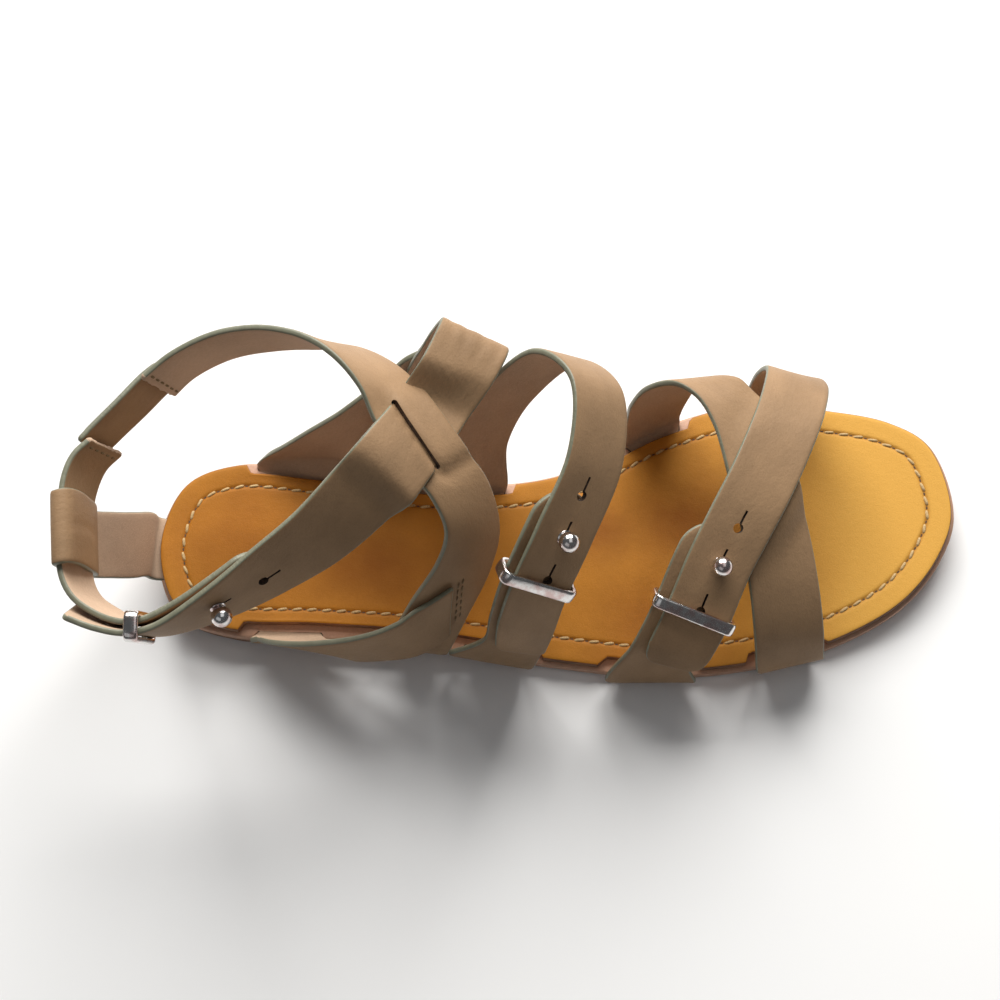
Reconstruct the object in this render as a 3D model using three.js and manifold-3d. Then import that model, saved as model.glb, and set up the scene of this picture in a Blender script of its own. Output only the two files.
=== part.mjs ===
// Gladiator sandal for the right foot, European size 38 to 39, standing empty on its sole.
// Millimetres, +Z up, +X to the toe, +Y to the medial (big toe) side.
// The tables are drawn from the ground under the middle of the sole's length; at the end
// every piece moves so that the origin is under the middle of the sandal's bounding box.
//
// Flat leather straps 2 mm thick come up from between the insole and the outsole. Two cross
// over the toes, one spans the midfoot, and two cross over the instep and run back to the
// ankle, where a billet passes through the loop of the heel strap and closes on a ball stud.

import * as THREE from 'three';
import Module from 'manifold-3d';
import { mergeVertices } from 'three/addons/utils/BufferGeometryUtils.js';

const wasm = await Module();
wasm.setup();

// ---- driving dimensions -----------------------------------------------------------------

const GAP = 0.3; // clearance between neighbouring pieces

const SOLE = {
  length: 255,
  toeTipY: 9, // the toe tip lies to the medial side of the heel's centre
  outsoleThick: 4.2,
  insoleThick: 3.0,
  insoleInset: 1.3, // bare outsole rim seen round the insole
  heelRise: 6, // height of the heel block under the outsole
  heelFrontX: -60,
  waistFrontX: 12, // the outsole leaves the ground here ...
  waistBackX: -56, // ... and is level again here
  springX: 74, // toe spring starts here
  springRise: 5,
  stations: 44,
};

// Half-widths of the outsole from its long axis, heel to toe.
const SOLE_OUTLINE = [
  { x: -120, medial: 21.7, lateral: 21.7 },
  { x: -103, medial: 28.7, lateral: 28.7 },
  { x: -75, medial: 26.4, lateral: 30.2 },
  { x: -38, medial: 21.4, lateral: 33.0 },
  { x: 0, medial: 25.2, lateral: 38.2 },
  { x: 35, medial: 42.0, lateral: 41.6 },
  { x: 65, medial: 49.8, lateral: 38.6 },
  { x: 90, medial: 47.2, lateral: 31.4 },
  { x: 110, medial: 41.8, lateral: 20.2 },
  { x: 122, medial: 32.6, lateral: 6.2 },
];

const STRAP = {
  width: 21.5,
  thick: 2.0,
  billetWidth: 19.5,
  step: 5, // length of one facet along a strap
};

// How a strap leaves the sole: it lies 9 mm deep between outsole and insole and turns up at
// the rim, closer to the insole on the medial side. out is measured from the rim, up from
// the outsole's top face.
const STRAP_ROOT = {
  lateral: [
    { out: -9.0, up: -1.3 }, { out: -2.2, up: -1.2 }, { out: 0.8, up: 0.9 }, { out: 1.8, up: 5.0 },
  ],
  medial: [
    { out: -9.0, up: -1.3 }, { out: -4.0, up: -1.25 }, { out: -1.1, up: 0.9 }, { out: 0.2, up: 5.0 },
  ],
  heel: [
    { out: -9.0, up: -1.3 }, { out: -1.6, up: -1.2 }, { out: 1.5, up: 0.9 }, { out: 2.6, up: 5.0 },
  ],
};

// Strap rows run from the medial to the lateral side. x, y, z is the middle of the strap;
// ax, ay, az points across it, from its rear or upper edge to its front or lower edge.
const TOE_OVER = [
  { x: 74.5, y: 50.5, z: 24, ax: 0.98, ay: -0.1, az: 0 },
  { x: 76, y: 45, z: 37.5, ax: 0.93, ay: -0.35, az: -0.02 },
  { x: 73.8, y: 35.5, z: 45.5, ax: 0.93, ay: -0.34, az: -0.1 },
  { x: 70.3, y: 25.5, z: 49.8, ax: 0.93, ay: -0.33, az: -0.14 },
  { x: 62.3, y: 7.5, z: 51.6, ax: 0.9, ay: -0.36, az: -0.25 },
  { x: 55.3, y: -5.5, z: 49.4, ax: 0.89, ay: -0.36, az: -0.3 },
  { x: 48.9, y: -17.3, z: 45, ax: 0.89, ay: -0.33, az: -0.32 },
  { x: 42.8, y: -30.3, z: 38, ax: 0.9, ay: -0.3, az: -0.3 },
  { x: 37.8, y: -39.6, z: 30.5, ax: 0.92, ay: -0.25, az: -0.3, width: 19.5 },
  { x: 35.2, y: -43, z: 25.5, ax: 0.94, ay: -0.2, az: -0.25, width: 16.5 },
];

const TOE_UNDER = [
  { x: 34, y: 43, z: 20, ax: 0.94, ay: 0.33, az: 0.02 },
  { x: 35.2, y: 42.2, z: 31, ax: 0.96, ay: 0.25, az: 0.02 },
  { x: 39.8, y: 42, z: 41.5, ax: 0.97, ay: 0.16, az: -0.06 },
  { x: 47.5, y: 39.6, z: 48.3, ax: 0.96, ay: 0.1, az: -0.18 },
  { x: 54, y: 33.6, z: 50.2, ax: 0.94, ay: 0.06, az: -0.3 },
  { x: 58.8, y: 24, z: 49.8, ax: 0.93, ay: 0.04, az: -0.35 },
  { x: 62.8, y: 8, z: 47.8, ax: 0.93, ay: 0.06, az: -0.35 },
  { x: 66.4, y: -6, z: 43, ax: 0.94, ay: 0.1, az: -0.3 },
  { x: 69.2, y: -22, z: 36, ax: 0.97, ay: 0.1, az: -0.2 },
  { x: 71.2, y: -34.6, z: 25.5, ax: 0.98, ay: 0.14, az: -0.12 },
  { x: 72.5, y: -39.2, z: 14, ax: 0.97, ay: 0.22, az: -0.06 },
];

const MIDFOOT = [
  { x: -21.5, y: 28.5, z: 28, ax: 0.93, ay: 0.12, az: -0.34 },
  { x: -12, y: 35.5, z: 50, ax: 0.84, ay: 0.1, az: -0.52 },
  { x: 4, y: 38, z: 72, ax: 0.76, ay: 0.06, az: -0.64 },
  { x: 14.5, y: 26, z: 80.3, ax: 0.76, ay: 0.02, az: -0.64 },
  { x: 14, y: 4, z: 78, ax: 0.78, ay: -0.03, az: -0.61 },
  { x: 5, y: -16, z: 70, ax: 0.78, ay: -0.1, az: -0.6 },
  { x: -1.8, y: -27.6, z: 59.6, ax: 0.8, ay: -0.1, az: -0.58 },
  { x: -6.6, y: -35.4, z: 44, ax: 0.84, ay: -0.06, az: -0.52, width: 21 },
  { x: -10, y: -38.8, z: 28, ax: 0.9, ay: -0.04, az: -0.42, width: 16 },
];

// Passes over the rear half of the other instep strap, down through its slit, and under
// its front half, then back along the lateral ankle to its free tail.
const INSTEP_UNDER = [
  { x: -41, y: 34, z: 30, ax: 0.96, ay: 0, az: -0.28 },
  { x: -31.5, y: 40.5, z: 58, ax: 0.92, ay: -0.05, az: -0.4 },
  { x: -20.5, y: 39.5, z: 85, ax: 0.88, ay: -0.35, az: -0.3 },
  { x: -25.5, y: 27, z: 88, ax: 0.7, ay: -0.62, az: -0.3 },
  { x: -34, y: 13.5, z: 85.6, ax: 0.6, ay: -0.7, az: -0.32 },
  { x: -43.5, y: 1.5, z: 85.9, ax: 0.55, ay: -0.7, az: -0.45 },
  { x: -53, y: -8, z: 82.8, ax: 0.5, ay: -0.58, az: -0.62 },
  { x: -64.5, y: -17.8, z: 78.5, ax: 0.42, ay: -0.42, az: -0.8 },
  { x: -77.5, y: -26, z: 75, ax: 0.3, ay: -0.28, az: -0.9 },
  { x: -93, y: -34.5, z: 71.6, ax: 0.06, ay: -0.1, az: -0.99 },
  { x: -108.3, y: -41.4, z: 69.5, ax: -0.05, ay: 0.12, az: -0.99 },
  { x: -116, y: -42.3, z: 69.8, ax: -0.06, ay: 0.22, az: -0.97 },
  { x: -125.3, y: -40, z: 70.5, ax: -0.08, ay: 0.32, az: -0.95 },
  { x: -134.2, y: -36.2, z: 71.5, ax: -0.1, ay: 0.4, az: -0.92 },
];

const INSTEP_OVER = [
  { x: -114.4, y: 31, z: 71, ax: 0.25, ay: 0.1, az: -0.96 },
  { x: -107, y: 37, z: 73, ax: 0.12, ay: 0.05, az: -0.99 },
  { x: -95.6, y: 41.4, z: 76, ax: 0.02, ay: 0.03, az: -1 },
  { x: -83, y: 42.2, z: 79, ax: 0.02, ay: 0.06, az: -1 },
  { x: -69.5, y: 39.8, z: 83, ax: 0.14, ay: 0.18, az: -0.97 },
  { x: -57, y: 35, z: 85.8, ax: 0.38, ay: 0.36, az: -0.85 },
  { x: -46.5, y: 26.5, z: 86.8, ax: 0.6, ay: 0.42, az: -0.68 },
  { x: -38.5, y: 14.5, z: 85.7, ax: 0.72, ay: 0.47, az: -0.5 },
  { x: -31, y: 4, z: 82.3, ax: 0.76, ay: 0.46, az: -0.46 },
  { x: -24.6, y: -3.5, z: 76.3, ax: 0.74, ay: 0.45, az: -0.5 },
  { x: -21.8, y: -12, z: 67, ax: 0.72, ay: 0.28, az: -0.63 },
  { x: -25, y: -20, z: 56, ax: 0.74, ay: 0.12, az: -0.66 },
  { x: -32.8, y: -28.8, z: 42, ax: 0.82, ay: -0.04, az: -0.57 },
  { x: -39.4, y: -34.2, z: 26, ax: 0.9, ay: -0.08, az: -0.42 },
];

const REAR_LATERAL = [
  { x: -29.5, y: -29.6, z: 43.8, ax: -0.08, ay: -0.55, az: -0.83, width: 21.5 },
  { x: -40.7, y: -35.6, z: 37, ax: 0.02, ay: -0.33, az: -0.94, width: 21.5 },
  { x: -53.5, y: -37.6, z: 30, ax: 0.15, ay: -0.12, az: -0.98, width: 21.5 },
  { x: -67.5, y: -37.2, z: 22.8, ax: 0.55, ay: -0.02, az: -0.83, width: 22 },
  { x: -76.5, y: -34.4, z: 18, ax: 0.88, ay: 0, az: -0.47, width: 23 },
  { x: -80.5, y: -31.6, z: 14.2, ax: 0.98, ay: 0, az: -0.16, width: 25 },
];

const REAR_MEDIAL = [
  { x: -80.5, y: 29.4, z: 14, ax: 0.99, ay: -0.02, az: -0.14, width: 25 },
  { x: -76.5, y: 30, z: 18.4, ax: 0.92, ay: 0.02, az: -0.38, width: 22.5 },
  { x: -69.3, y: 31.8, z: 25, ax: 0.8, ay: 0.06, az: -0.6, width: 21.5 },
  { x: -60, y: 34, z: 33.5, ax: 0.6, ay: 0.1, az: -0.79, width: 21.5 },
  { x: -48, y: 38.5, z: 44.5, ax: 0.45, ay: 0.1, az: -0.88, width: 21.5 },
  { x: -34, y: 42.4, z: 56, ax: 0.3, ay: 0.05, az: -0.95, width: 21.5 },
];

// The ankle billet runs from its round tip inside the instep strap, back round the heel
// through the loop, to its folded end on the medial side.
const ANKLE_BILLET = [
  { x: -124.5, y: -36.2, z: 68.7, ax: 0.08, ay: 0.26, az: -0.96 },
  { x: -131, y: -31.6, z: 68.6, ax: 0.12, ay: 0.22, az: -0.96 },
  { x: -134.4, y: -25.2, z: 68.8, ax: 0.16, ay: 0.14, az: -0.97 },
  { x: -135.4, y: -12, z: 69.2, ax: 0.16, ay: 0.06, az: -0.98 },
  { x: -135.8, y: 0.5, z: 69.3, ax: 0.16, ay: 0.04, az: -0.98 },
  { x: -133.4, y: 8.6, z: 69.4, ax: 0.18, ay: 0.1, az: -0.97 },
  { x: -128.8, y: 13.6, z: 69.4, ax: 0.2, ay: 0.12, az: -0.97 },
];

// Narrow strap that joins the billet's folded end to the instep strap's end.
const ANKLE_LINK = [
  { x: -133.0, y: 13.2, z: 69.4, ax: 0.2, ay: 0.12, az: -0.97 },
  { x: -130.2, y: 16.6, z: 69.6, ax: 0.2, ay: 0.12, az: -0.97 },
  { x: -122.4, y: 25.4, z: 70.3, ax: 0.22, ay: 0.12, az: -0.97 },
  { x: -115.9, y: 33.0, z: 71.2, ax: 0.2, ay: 0.1, az: -0.97 },
  { x: -109.6, y: 38.2, z: 72, ax: 0.16, ay: 0.08, az: -0.98 },
];

const HEEL_STRAP = [
  { x: -131, y: -1.5, z: 26, ax: -0.04, ay: 1, az: 0.03 },
  { x: -133.3, y: -5, z: 40, ax: -0.06, ay: 1, az: 0.06 },
  { x: -136, y: -8.8, z: 54, ax: -0.08, ay: 1, az: 0.08 },
  { x: -138.2, y: -12.2, z: 68, ax: -0.08, ay: 1, az: 0.08 },
  { x: -139.8, y: -14, z: 77, ax: -0.08, ay: 1, az: 0.08 },
  { x: -138.7, y: -14.6, z: 80.4, ax: -0.08, ay: 1, az: 0.08 },
  { x: -134.9, y: -14, z: 80.8, ax: -0.08, ay: 1, az: 0.08 },
  { x: -132.4, y: -12.6, z: 74, ax: -0.08, ay: 1, az: 0.08 },
  { x: -130.4, y: -10, z: 60.5, ax: -0.08, ay: 1, az: 0.08 },
  { x: -132.5, y: -8.8, z: 54.5, ax: -0.08, ay: 1, az: 0.08 },
  { x: -134.2, y: -8.2, z: 51.6, ax: -0.08, ay: 1, az: 0.08 },
];

// Where each strap is rooted in the sole: x of its middle, side of the foot, root width.
const ROOTS = {
  toeOver: { x: 73, side: 1, width: STRAP.width },
  toeUnder: { x: 32, side: 1, width: STRAP.width },
  toeUnderLateral: { x: 73, side: -1, width: STRAP.width },
  toeBillet: { x: 30, side: -1, width: 28 },
  midfoot: { x: -25, side: 1, width: STRAP.width },
  midBillet: { x: -18.4, side: -1, width: 24 },
  instepUnder: { x: -48, side: 1, width: STRAP.width },
  instepOver: { x: -43.5, side: -1, width: STRAP.width },
  rearLateral: { x: -83.5, side: -1, width: 28 },
  rearMedial: { x: -83.5, side: 1, width: 28 },
};

const STUD = { ball: 6.0, shank: 2.6, base: 6.0, baseThick: 0.8, hole: 3.6, lift: 0.7 };
const KEEPER = { wall: 1.2, length: 3.2, sideways: 0.4, slack: 1.2 };

// ---- sole surfaces ----------------------------------------------------------------------

const smooth = (t) => {
  const s = Math.min(Math.max(t, 0), 1);
  return s * s * (3 - 2 * s);
};

// Height of the outsole's underside: flat at the ball, raised at the heel, sprung at the toe.
function soleBottom(x) {
  const heel = SOLE.heelRise * smooth((SOLE.waistFrontX - x) / (SOLE.waistFrontX - SOLE.waistBackX));
  const spring = Math.max(x - SOLE.springX, 0) / (SOLE.length / 2 - SOLE.springX);
  return heel + SOLE.springRise * spring * spring;
}

const soleTop = (x) => soleBottom(x) + SOLE.outsoleThick;

function outlineCurve() {
  const half = SOLE.length / 2;
  const medial = SOLE_OUTLINE.map((r) => new THREE.Vector3(r.x, r.medial, 0));
  const lateral = SOLE_OUTLINE.map((r) => new THREE.Vector3(r.x, -r.lateral, 0)).reverse();
  const points = [
    new THREE.Vector3(-half, 0, 0), ...medial, new THREE.Vector3(half, SOLE.toeTipY, 0), ...lateral,
  ];
  return new THREE.CatmullRomCurve3(points, true, 'centripetal');
}

// The outline as two chains of points, heel to toe, moved inwards by inset.
function outlineSides(inset) {
  const curve = outlineCurve();
  const count = 600;
  const ring = [];
  for (let i = 0; i < count; i++) {
    const p = curve.getPoint(i / count);
    const t = curve.getTangent(i / count);
    ring.push(new THREE.Vector2(p.x + t.y * inset, p.y - t.x * inset));
  }
  const xs = ring.map((p) => p.x);
  const back = xs.indexOf(Math.min(...xs));
  const tip = xs.indexOf(Math.max(...xs));
  const chain = (from, to) => {
    const out = [];
    for (let i = from; ; i = (i + 1) % count) {
      out.push(ring[i]);
      if (i === to) return out;
    }
  };
  return { medial: chain(back, tip), lateral: chain(tip, back).reverse() };
}

function yOn(chain, x) {
  for (let i = 1; i < chain.length; i++) {
    const [a, b] = [chain[i - 1], chain[i]];
    if (x <= b.x) return a.y + ((b.y - a.y) * (x - a.x)) / Math.max(b.x - a.x, 1e-9);
  }
  return chain[chain.length - 1].y;
}

const RIM = outlineSides(0);

// Point on the outsole's rim and the direction straight out of it.
function rimPoint(x, side) {
  const chain = side > 0 ? RIM.medial : RIM.lateral;
  const slope = (yOn(chain, x + 4) - yOn(chain, x - 4)) / 8;
  const along = new THREE.Vector3(1, slope, 0).normalize();
  const out = new THREE.Vector3(-along.y * side, along.x * side, 0);
  return { at: new THREE.Vector3(x, yOn(chain, x), 0), along, out };
}

// ---- solids from rings of corners -------------------------------------------------------

// Skins a row of closed rings, all with the same number of corners, and caps both ends.
function skin(rings) {
  const n = rings[0].length;
  const positions = rings.flat().flatMap((p) => [p.x, p.y, p.z]);
  const index = [];
  for (let r = 0; r + 1 < rings.length; r++) {
    for (let i = 0; i < n; i++) {
      const [a, b] = [r * n + i, r * n + ((i + 1) % n)];
      index.push(a, b, b + n, a, b + n, a + n);
    }
  }
  const last = (rings.length - 1) * n;
  for (let i = 1; i + 1 < n; i++) {
    index.push(0, i + 1, i);
    index.push(last, last + i, last + i + 1);
  }
  const geometry = new THREE.BufferGeometry();
  geometry.setAttribute('position', new THREE.Float32BufferAttribute(positions, 3));
  geometry.setIndex(index);
  return geometry;
}

function toSolid(geometry) {
  const bare = geometry.clone();
  bare.deleteAttribute('normal');
  bare.deleteAttribute('uv');
  const merged = mergeVertices(bare, 1e-4);
  const source = Array.from(merged.index.array);
  const tri = [];
  for (let i = 0; i < source.length; i += 3) {
    const [a, b, c] = source.slice(i, i + 3);
    if (a !== b && b !== c && c !== a) tri.push(a, b, c);
  }
  return new wasm.Manifold(new wasm.Mesh({
    numProp: 3,
    vertProperties: new Float32Array(merged.attributes.position.array),
    triVerts: new Uint32Array(tri),
  }));
}

function toGeometry(solid) {
  const mesh = solid.getMesh();
  const geometry = new THREE.BufferGeometry();
  const positions = new Float32Array(mesh.numVert * 3);
  for (let i = 0; i < mesh.numVert; i++) {
    for (let k = 0; k < 3; k++) positions[3 * i + k] = mesh.vertProperties[mesh.numProp * i + k];
  }
  geometry.setAttribute('position', new THREE.BufferAttribute(positions, 3));
  geometry.setIndex(new THREE.BufferAttribute(new Uint32Array(mesh.triVerts), 1));
  return geometry;
}

// A plate with the sole's outline, from bottom(x) to top(x), between two x limits.
function solePlate(inset, bottom, top, fromX, toX) {
  const sides = outlineSides(inset);
  const [start, end] = [sides.medial[0].x, sides.medial[sides.medial.length - 1].x];
  const rings = [];
  for (let i = 0; i <= SOLE.stations; i++) {
    const share = (1 - Math.cos((Math.PI * i) / SOLE.stations)) / 2;
    let x = start + (end - start) * share;
    if (i === 0) x += 0.05;
    if (i === SOLE.stations) x -= 0.05;
    if (x < fromX || x > toX) continue;
    rings.push(soleRing(sides, x, bottom, top));
  }
  if (toX < end) rings.push(soleRing(sides, toX, bottom, top));
  return skin(rings);
}

function soleRing(sides, x, bottom, top) {
  const [m, l] = [yOn(sides.medial, x), yOn(sides.lateral, x)];
  return [
    new THREE.Vector3(x, l, bottom(x)),
    new THREE.Vector3(x, m, bottom(x)),
    new THREE.Vector3(x, m, top(x)),
    new THREE.Vector3(x, l, top(x)),
  ];
}

// ---- straps -----------------------------------------------------------------------------

// Rows of a strap's root, from its standing part down and into the sole.
function rootRows({ x, side, width }) {
  const rim = rimPoint(x, side);
  const rise = (soleTop(x + 4) - soleTop(x - 4)) / 8;
  const rows = STRAP_ROOT[side > 0 ? "medial" : "lateral"].map(({ out, up }) => {
    const p = rim.at.clone().addScaledVector(rim.out, out);
    const z = soleTop(x) + up;
    return { x: p.x, y: p.y, z, ax: rim.along.x, ay: rim.along.y, az: rise * rim.along.x, width };
  });
  return rows.reverse();
}

const fromRoot = (root) => rootRows(root).reverse();

function unit(x, y, z) {
  return new THREE.Vector3(x, y, z).normalize();
}

// The strap's rows as smooth curves. sample(s) takes a row number, whole or not, and gives
// the point, the directions along, across and out of the strap, and its width.
function strapPath(rows, width = STRAP.width) {
  const middle = new THREE.CatmullRomCurve3(rows.map((r) => new THREE.Vector3(r.x, r.y, r.z)));
  const acrossCurve = new THREE.CatmullRomCurve3(rows.map((r) => unit(r.ax, r.ay, r.az)));
  const widths = new THREE.CatmullRomCurve3(
    rows.map((r, i) => new THREE.Vector3(i, r.width ?? width, 0)));
  const last = rows.length - 1;
  const sample = (row) => {
    const t = Math.min(Math.max(row / last, 0), 1);
    const point = middle.getPoint(t);
    const along = middle.getTangent(t);
    const across = acrossCurve.getPoint(t).normalize();
    const out = new THREE.Vector3().crossVectors(along, across).normalize();
    return { point, along, across, out, width: widths.getPoint(t).y };
  };
  return { last, sample };
}

// Row numbers for the facets from row a to row b. Every whole row is one, so that a strap
// and the recess cut for it share their facets.
function facetRows(path, a, b) {
  const whole = [];
  for (let row = Math.floor(a) + 1; row < b; row++) whole.push(row);
  const ends = [a, ...whole, b];
  const numbers = [a];
  for (let i = 1; i < ends.length; i++) {
    const [from, to] = [ends[i - 1], ends[i]];
    const span = path.sample(from).point.distanceTo(path.sample(to).point);
    const count = Math.max(1, Math.round(span / STRAP.step));
    for (let k = 1; k <= count; k++) numbers.push(from + ((to - from) * k) / count);
  }
  return numbers;
}

// The row number at a given length along the path from row a.
function rowAfter(path, a, length) {
  const fine = 0.01;
  let row = a;
  let gone = 0;
  while (gone < length) {
    gone += path.sample(row).point.distanceTo(path.sample(row + fine).point);
    row += fine;
  }
  return row;
}

// A flat ribbon along a path. round gives it a half-round tip at its first row.
function ribbon(path, { a = 0, b = path.last, grow = 0, round = false } = {}) {
  const halfThick = STRAP.thick / 2 + grow;
  const radius = path.sample(a).width / 2;
  const start = round ? rowAfter(path, a, radius) : a;
  const stations = facetRows(path, start, b).map((row) => path.sample(row));
  stations[0].point.addScaledVector(stations[0].along, -grow);
  stations[stations.length - 1].point.addScaledVector(stations[stations.length - 1].along, grow);
  const rings = stations.map((s) => sectionRing(s, s.width / 2 + grow, halfThick));
  if (round) rings.unshift(...tipRings(path, a, radius, halfThick));
  return toSolid(skin(rings));
}

function sectionRing({ point, across, out }, halfWidth, halfThick) {
  const corner = (u, v) => point.clone().addScaledVector(across, u).addScaledVector(out, v);
  return [
    corner(-halfWidth, -halfThick), corner(halfWidth, -halfThick),
    corner(halfWidth, halfThick), corner(-halfWidth, halfThick),
  ];
}

// Rings of a half-round strap end, its tip at row a.
function tipRings(path, a, radius, halfThick) {
  return [80, 60, 40, 20].map((degrees) => {
    const angle = THREE.MathUtils.degToRad(degrees);
    const station = path.sample(rowAfter(path, a, radius * (1 - Math.sin(angle))));
    return sectionRing(station, radius * Math.cos(angle), halfThick);
  });
}

// Rows of a billet that lies against the inner side of a strap from row a to row b.
function rowsUnder(path, { a, b, count, depth, shift = 0, width }) {
  const rows = [];
  for (let i = 0; i <= count; i++) {
    const s = path.sample(a + ((b - a) * i) / count);
    const p = s.point.addScaledVector(s.out, -depth).addScaledVector(s.across, shift);
    rows.push({ x: p.x, y: p.y, z: p.z, ax: s.across.x, ay: s.across.y, az: s.across.z, width });
  }
  return rows;
}

// ---- hardware ---------------------------------------------------------------------------

// Matrix that carries local X across, Y along and Z out of the strap to its place.
function placeOn({ point, along, across, out }, lift) {
  const origin = point.clone().addScaledVector(out, lift);
  return new THREE.Matrix4().makeBasis(across, along.clone().negate(), out).setPosition(origin);
}

function placed(geometry, station, lift) {
  return geometry.clone().applyMatrix4(placeOn(station, lift));
}

// Ball stud: a base disc inside the billet, a shank through both layers, a ball outside.
// depth is the billet's distance below the strap, both measured at mid thickness.
function studGeometry(depth) {
  const inner = -depth - STRAP.thick / 2 - STUD.lift;
  const outer = STRAP.thick / 2 + STUD.lift;
  const ballR = STUD.ball / 2;
  const shankR = STUD.shank / 2;
  const neck = Math.sqrt(ballR * ballR - shankR * shankR);
  const profile = [
    new THREE.Vector2(0, inner - STUD.baseThick),
    new THREE.Vector2(STUD.base / 2, inner - STUD.baseThick),
    new THREE.Vector2(STUD.base / 2, inner),
    new THREE.Vector2(shankR, inner),
  ];
  const centre = outer + neck;
  const first = Math.asin(-neck / ballR);
  const turns = 7;
  for (let i = 0; i < turns; i++) {
    const angle = first + ((Math.PI / 2 - first) * i) / turns;
    profile.push(new THREE.Vector2(ballR * Math.cos(angle), centre + ballR * Math.sin(angle)));
  }
  profile.push(new THREE.Vector2(0, centre + ballR));
  return new THREE.LatheGeometry(profile, 16).rotateX(Math.PI / 2);
}

function drill(solid, station, diameter) {
  const bore = new THREE.CylinderGeometry(diameter / 2, diameter / 2, 16, 16).rotateX(Math.PI / 2);
  return solid.subtract(toSolid(placed(bore, station, -1)));
}

// Keeper: a rectangular metal loop round strap and billet. clear is the opening's height.
function keeperSolid(station, lift, openWidth, clear) {
  const { wall, length } = KEEPER;
  const frame = new THREE.BoxGeometry(openWidth + 2 * wall, length, clear + 2 * wall);
  const opening = new THREE.BoxGeometry(openWidth, length * 2, clear);
  return toSolid(placed(frame, station, lift)).subtract(toSolid(placed(opening, station, lift)));
}

// ---- the pieces -------------------------------------------------------------------------

const DEPTH = STRAP.thick + GAP + 0.3; // a billet's distance below its strap
const ANKLE_DEPTH = 3.4; // the ankle billet hangs a little looser

const toeOver = strapPath([...fromRoot(ROOTS.toeOver), ...TOE_OVER]);
const toeUnder = strapPath([
  ...fromRoot(ROOTS.toeUnder), ...TOE_UNDER, ...rootRows(ROOTS.toeUnderLateral),
]);
const midfoot = strapPath([...fromRoot(ROOTS.midfoot), ...MIDFOOT]);
const instepUnder = strapPath([...fromRoot(ROOTS.instepUnder), ...INSTEP_UNDER]);
const instepOver = strapPath([...INSTEP_OVER, ...rootRows(ROOTS.instepOver)]);
const rearLateral = strapPath([...REAR_LATERAL, ...rootRows(ROOTS.rearLateral).slice(1)]);
const rearMedial = strapPath([...fromRoot(ROOTS.rearMedial).slice(0, -1), ...REAR_MEDIAL]);

// Row numbers on the closing straps, counted from each strap's first row.
const TOE_MARKS = { tip: 9.2, stud: 9.95, keeper: 11, end: 13 };
const MID_MARKS = { tip: 8.45, stud: 9, keeper: 9.95, end: 12 };
const ANKLE_MARKS = { tip: 11.9, stud: 13, keeper: 14.8, end: 15.2 };

const toeBillet = strapPath([
  ...rowsUnder(toeOver, { a: TOE_MARKS.tip, b: TOE_MARKS.end, count: 4, depth: DEPTH, shift: -3.4,
    width: STRAP.billetWidth }),
  ...rootRows(ROOTS.toeBillet),
], STRAP.billetWidth);
const midBillet = strapPath([
  ...rowsUnder(midfoot, { a: MID_MARKS.tip, b: MID_MARKS.end, count: 4, depth: DEPTH, shift: -3.1,
    width: STRAP.billetWidth }),
  ...rootRows(ROOTS.midBillet),
], STRAP.billetWidth);
const ankleBillet = strapPath([
  ...rowsUnder(instepUnder, { a: ANKLE_MARKS.tip, b: ANKLE_MARKS.end, count: 4,
    depth: ANKLE_DEPTH, width: STRAP.billetWidth }),
  ...ANKLE_BILLET,
], STRAP.billetWidth);
const ankleLink = strapPath(ANKLE_LINK, 17);
const heelStrap = strapPath([...heelRoot(), ...HEEL_STRAP]);

// The heel strap's root stands at the very back of the sole.
function heelRoot() {
  const back = -SOLE.length / 2;
  return STRAP_ROOT.heel.map(({ out, up }) => (
    { x: back - out, y: 0, z: soleTop(back) + up, ax: 0, ay: 1, az: 0, width: STRAP.width }
  ));
}

const rooted = [
  [toeOver, 0, 4], [toeUnder, 0, 4], [toeUnder, toeUnder.last - 4, toeUnder.last],
  [toeBillet, toeBillet.last - 4, toeBillet.last], [midfoot, 0, 4],
  [midBillet, midBillet.last - 4, midBillet.last], [instepUnder, 0, 4],
  [instepOver, instepOver.last - 4, instepOver.last],
  [rearLateral, rearLateral.last - 4, rearLateral.last], [rearMedial, 0, 4], [heelStrap, 0, 4],
];

// Slivers left between two cuts are dropped.
function largest(solid) {
  return solid.decompose().sort((p, q) => q.volume() - p.volume())[0];
}

// Recesses for the strap roots in the outsole's top face.
function outsole() {
  let solid = toSolid(solePlate(0, soleBottom, soleTop, -Infinity, Infinity));
  for (const [path, a, b] of rooted) solid = solid.subtract(ribbon(path, { a, b, grow: GAP }));
  return largest(solid);
}

function insole() {
  const bottom = (x) => soleTop(x) + GAP;
  const top = (x) => soleTop(x) + SOLE.insoleThick;
  let solid = toSolid(solePlate(SOLE.insoleInset, bottom, top, -Infinity, Infinity));
  for (const root of Object.values(ROOTS)) solid = solid.subtract(notch(root));
  return solid;
}

// The insole steps in by notchDepth where a strap goes down beside it.
function notch({ x, side, width }) {
  const notchDepth = 3.0;
  const rim = rimPoint(x, side);
  const box = new THREE.BoxGeometry(width + 2.4, 2 * (SOLE.insoleInset + notchDepth), 30);
  box.applyMatrix4(new THREE.Matrix4().makeBasis(rim.along, rim.out,
    new THREE.Vector3().crossVectors(rim.along, rim.out)).setPosition(rim.at));
  return toSolid(box);
}

function heelBlock() {
  const top = (x) => soleBottom(x) - GAP;
  return toSolid(solePlate(0.8, () => 0, top, -Infinity, SOLE.heelFrontX));
}

const toeStud = toeOver.sample(TOE_MARKS.stud);
const midStud = midfoot.sample(MID_MARKS.stud);
const ankleStud = instepUnder.sample(ANKLE_MARKS.stud);

function toeStraps() {
  return drill(ribbon(toeOver), toeStud, STUD.hole).add(ribbon(toeUnder));
}

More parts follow.
